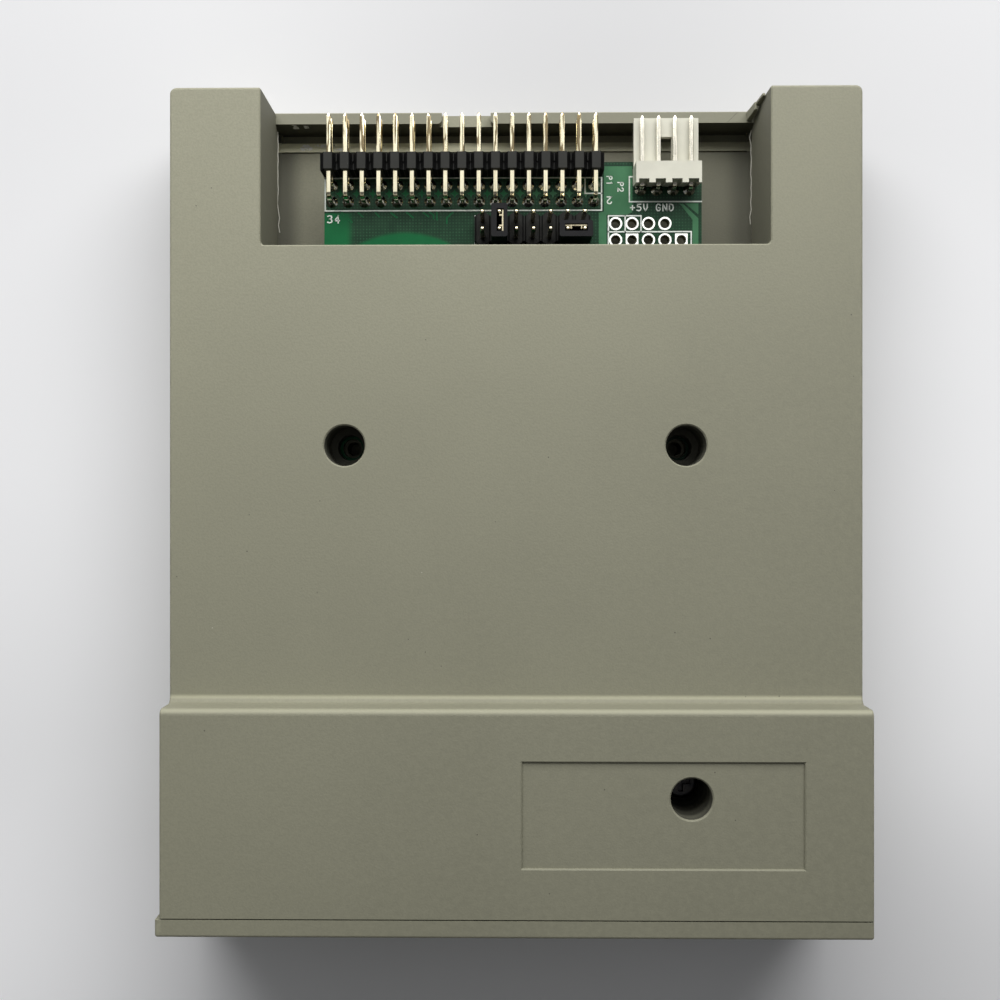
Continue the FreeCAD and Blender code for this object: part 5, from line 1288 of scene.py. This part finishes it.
@dataclass
class Board(Assembly):
    """Circuit board with its copper, print and solder."""

    top: float = 9.2
    ink_width: float = 0.2
    stroke: float = 0.19
    track_width: float = 0.24
    stars: int = 16
    star: float = 0.72
    star_waist: float = 0.3
    first_star: Place = (-27.03, 48.38)
    first_hole: float = 15.7
    square: float = 0.97
    ring: float = 1.02
    ring_hole: float = 0.76
    rim: float = 0.78
    rim_hole: float = 0.66

    def copper(self) -> None:
        """Areas and tracks of copper that show through the mask."""
        work = FlatWork("copper_areas", self.top, 0.035)
        for route in TRACKS:
            work.line(route, self.track_width)
        tip, waist = self.star, self.star * self.star_waist
        star = ((-tip, 0.0), (-waist, waist), (0.0, tip), (waist, waist),
                (tip, 0.0), (waist, -waist), (0.0, -tip), (-waist, -waist))
        for column in range(self.stars):
            x, y = self.first_star[0] + PIN_PITCH * column, self.first_star[1]
            work.plate([(x + across, y + along) for across, along in star])
        for outline in COPPER:
            work.plate(outline)
        self.add(work.done(), COPPER_MASK, "board")

    def printed(self) -> None:
        """White lines and plain characters."""
        work = FlatWork("board_print", self.top + 0.04, 0.02)
        for route in PRINTED:
            work.line(route, self.ink_width)
        for word in LETTERING:
            work.word(word, self.stroke)
        self.add(work.done(), INK, "board")

    def holes(self) -> list[tuple[float, float, bool]]:
        """Places of the spare holes, and which of them have a square pad."""
        return [(self.first_hole + PIN_PITCH * column, along, column in squares)
                for along, count, squares in SPARE_ROWS for column in range(count)]

    def pads(self) -> None:
        """Tinned rings of the spare holes, and dark rims within them painted as the shade in the holes."""
        work = FlatWork("tinned_rings", self.top, 0.03)
        for x, y, squared in self.holes():
            work.pad(x, y, square(self.square) if squared else circle(self.ring), self.ring_hole)
        self.add(work.done(), PAD_TIN, "tin", "spare_pads")
        # Painted shade: dark rings inside the tinned rings.
        work = FlatWork("hole_shade_rims", self.top, 0.015)
        for x, y, _ in self.holes():
            work.pad(x, y, circle(self.rim), self.rim_hole)
        self.add(work.done(), HOLE_SHADE, "tin")

    def build(self) -> None:
        """Dress the board and add its copper, pads and print."""
        self.dress(MASK, "circuit_board")
        self.dress(SOLDER, "solder_joints")
        self.pads()
        self.copper()
        self.printed()


@dataclass
class SignalHeader(Assembly):
    """34 way header: a black strip of cells, and two rows of angled pins."""

    columns: int = 17
    pitch: float = PIN_PITCH
    first: float = -28.3
    front: float = 51.0
    rear: float = 53.5
    low: float = 9.2
    high: float = 14.28
    face: float = 1.34
    flare: float = 0.5
    groove: float = 0.9
    web: float = 0.16
    web_length: float = 1.36
    web_behind: float = 0.04
    web_sunk: float = 0.1
    web_drop: float = 0.3
    web_edge: float = 0.03
    web_taper: Pair = (0.7, 0.97)
    foot: float = 6.3
    tip: float = 59.75
    rows: tuple[Pair, Pair] = ((49.65, 10.5), (47.1, 13.04))

    def cell(self) -> bpy.types.Object:
        """Make one cell of the strip, with deep grooves at its sides.

        Returns:
            The cell.
        """
        shoulder, foot = self.high - self.groove, self.face + self.flare
        middle = (self.first, (self.front + self.rear) / 2, self.low)
        Bench.sheet(middle, self.pitch, self.rear - self.front)
        Bench.pull(z=shoulder - self.low)
        for side in (self.first - foot / 2, self.first + foot / 2):
            bpy.ops.mesh.select_all(action="SELECT")
            bpy.ops.mesh.bisect(plane_co=(side * MM, 0.0, 0.0), plane_no=(1.0, 0.0, 0.0))
        reach = foot / 2 * MM + SLACK
        Bench.pick(lambda place: place.z > shoulder * MM - SLACK and abs(place.x - self.first * MM) < reach)
        Bench.pull(z=self.groove)
        Bench.scale(middle, self.face / foot)
        return Bench.close()

    def ridge(self) -> bpy.types.Object:
        """Make the thin web in a groove.

        Returns:
            The web.
        """
        middle = (self.first + self.pitch / 2, self.rear - self.web_behind - self.web_length / 2,
                  self.high - self.groove - self.web_sunk)
        Bench.sheet(middle, self.web, self.web_length)
        Bench.pull(z=self.groove + self.web_sunk - self.web_drop)
        Bench.scale(middle, *self.web_taper)
        return Bench.close(self.web_edge)

    def build(self) -> None:
        """Build the strip and the pins."""
        cells = Bench.copies(self.cell(), self.columns, self.pitch)
        webs = Bench.copies(self.ridge(), self.columns - 1, self.pitch)
        self.add(Bench.join("signal_header_strip", cells + webs), HEADER_NYLON, "black_plastic",
                 "floppy_header_body")
        pins = []
        for leg, level in self.rows:
            pin = PinStock().angled(self.first, leg, self.foot, level, self.tip)
            pins += Bench.copies(pin, self.columns, self.pitch)
        self.add(Bench.join("signal_header_pins", pins), GILT, "gilt", "floppy_header_pins")


@dataclass
class PowerHeader(Assembly):
    """4 way power header."""

    first: float = 19.55
    pitch: float = 2.5
    columns: int = 4
    leg: float = 48.85
    foot: float = 6.3
    level: float = 11.4
    tip: float = 59.7

    def build(self) -> None:
        """Dress the housing and build the pins."""
        self.dress(WHITE_NYLON, "power_header_body")
        pin = PinStock(tip=0.3).angled(self.first, self.leg, self.foot, self.level, self.tip)
        self.add(Bench.join("power_header_wires", Bench.copies(pin, self.columns, self.pitch)), TIN, "tin",
                 "power_header_pins")


@dataclass
class OptionJumpers(Assembly):
    """Option header and its two shunts."""

    first: float = -4.85
    pitch: float = PIN_PITCH
    columns: int = 7
    rows: Pair = (43.65, 41.11)
    foot: float = 6.3
    top: float = 17.8

    def build(self) -> None:
        """Dress the header and the shunts, and build the pins."""
        self.dress(GROOVED_NYLON, "jumper_header_body")
        pins = []
        for row in self.rows:
            pin = PinStock(tip=0.36, tip_length=0.4).upright(self.first, row, self.foot, self.top)
            pins += Bench.copies(pin, self.columns, self.pitch)
        self.add(Bench.join("option_pins", pins), UPRIGHT_GILT, "gilt", "jumper_header_pins")
        self.dress(SHUNT_NYLON, "shunt_1_cap", "shunt_2_cap")
        self.dress(CONTACT_GILT, "shunt_1_contact", "shunt_2_contact")


@dataclass
class Circuit(Assembly):
    """Chips, crystal and the small parts on the board."""

    def build(self) -> None:
        """Dress the circuit."""
        self.dress(EPOXY, "microcontroller_body", "buffer_body", "regulator_body")
        self.dress(TIN, "microcontroller_leads", "buffer_leads", "regulator_legs", "chip_ends",
                   "capacitor_terminals")
        self.dress(STEEL, "crystal_can")
        self.dress(CAN, "capacitor_can")
        self.dress(BLACK_NYLON, "capacitor_base")
        self.dress(GLAZE, "chip_resistors")
        self.dress(CERAMIC, "chip_capacitors")


@dataclass
class FrontPanel(Assembly):
    """What shows through the bezel: socket, display, lamp and buttons."""

    def build(self) -> None:
        """Dress the fittings behind the bezel."""
        self.dress(STEEL, "usb_shell", "usb_legs", "switch_1_cover", "switch_2_cover",
                   "switch_1_dome", "switch_2_dome")
        self.dress(WHITE_NYLON, "usb_insulator")
        self.dress(GILT, "usb_contacts")
        self.dress(DISPLAY_FACE, "display_body")
        self.dress(MILKY, "display_digits")
        self.dress(TIN, "display_pins", "lamp_leads", "switch_legs")
        self.dress(LENS, "lamp_lens")
        self.dress(SWITCH_BASE, "switch_1_base", "switch_2_base")
        self.dress(BUTTON_PLASTIC, "button_1", "button_2")


@dataclass
class Studio:
    """Floor, window light from the rear and the photograph's camera."""

    lens: float = 44.28
    camera_place: Point = (-2.1, 0.825, 200.0)
    camera_turn: float = 0.0123
    shift: float = 0.0144
    key_size: Pair = (0.52, 0.25)
    key_distance: float = 0.315
    key_elevation: float = 38.0
    key_azimuth: float = 88.0
    key_power: float = 2.12
    fill_low: float = 0.04
    fill_front: float = 0.125
    fill_rear: float = 0.31
    seen_low: float = 0.8
    seen_front: float = 0.10
    seen_rear: float = 1.12

    def floor(self) -> None:
        """Lay the table."""
        Bench.clear()
        bpy.ops.mesh.primitive_plane_add(size=8.0)
        table = bpy.context.object
        table.name = "table"
        table.data.materials.append(FloorPaint("table_paint").material())

    def light(self) -> None:
        """Hang the window light."""
        rise, turn = math.radians(self.key_elevation), math.radians(self.key_azimuth)
        towards = Vector((math.cos(rise) * math.cos(turn), math.cos(rise) * math.sin(turn), math.sin(rise)))
        target = Vector((0.0, 0.0, 0.015))
        Bench.clear()
        bpy.ops.object.light_add(type="AREA", location=target + towards * self.key_distance)
        lamp = bpy.context.object
        lamp.name = "window"
        lamp.rotation_euler = towards.to_track_quat("Z", "Y").to_euler()
        lamp.data.shape = "RECTANGLE"
        lamp.data.size, lamp.data.size_y = self.key_size
        lamp.data.energy = self.key_power

    def sky(self) -> None:
        """Set the room: paler above and to the rear, darker to the front."""
        world = bpy.data.worlds.new("room")
        world.use_nodes = True
        graph = Graph(world.node_tree)
        _, along, upwards = graph.split(graph.node("ShaderNodeTexCoord").outputs["Generated"])
        fill = upwards.span(0.15, 0.9, self.fill_low, along.span(-0.5, 0.5, self.fill_front, self.fill_rear))
        view = upwards.span(0.15, 0.9, self.seen_low, along.span(-0.1, 0.2, self.seen_front, self.seen_rear))
        strength = graph.seen().span(0.0, 1.0, fill, view)
        room = graph.node("ShaderNodeBackground", None, {"Color": (0.98, 0.99, 1.0), "Strength": strength})
        graph.node("ShaderNodeOutputWorld", None, {"Surface": room.outputs[0]})
        bpy.context.scene.world = world

    def camera(self) -> None:
        """Set up the photograph's view."""
        Bench.clear()
        place = Vector(self.camera_place) * MM
        bpy.ops.object.camera_add(location=place, rotation=(0.0, self.camera_turn, 0.0))
        camera = bpy.context.object
        camera.data.lens = self.lens
        camera.data.shift_x = self.shift
        camera.data.clip_start = 0.005
        camera.data.clip_end = 20.0
        bpy.context.scene.camera = camera
        bpy.context.scene.view_settings.view_transform = "Standard"

    def build(self) -> None:
        """Set the stage."""
        self.floor()
        self.light()
        self.sky()
        self.camera()


def main() -> None:
    """Build the classes in order and report each piece."""
    logging.basicConfig(level=logging.INFO, format="%(message)s")
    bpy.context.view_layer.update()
    for assembly in (Housing(), Board(), SignalHeader(), PowerHeader(), OptionJumpers(), Circuit(),
                     FrontPanel()):
        assembly.build()
        assembly.report()
    Studio().build()


if __name__ == "__main__":
    main()
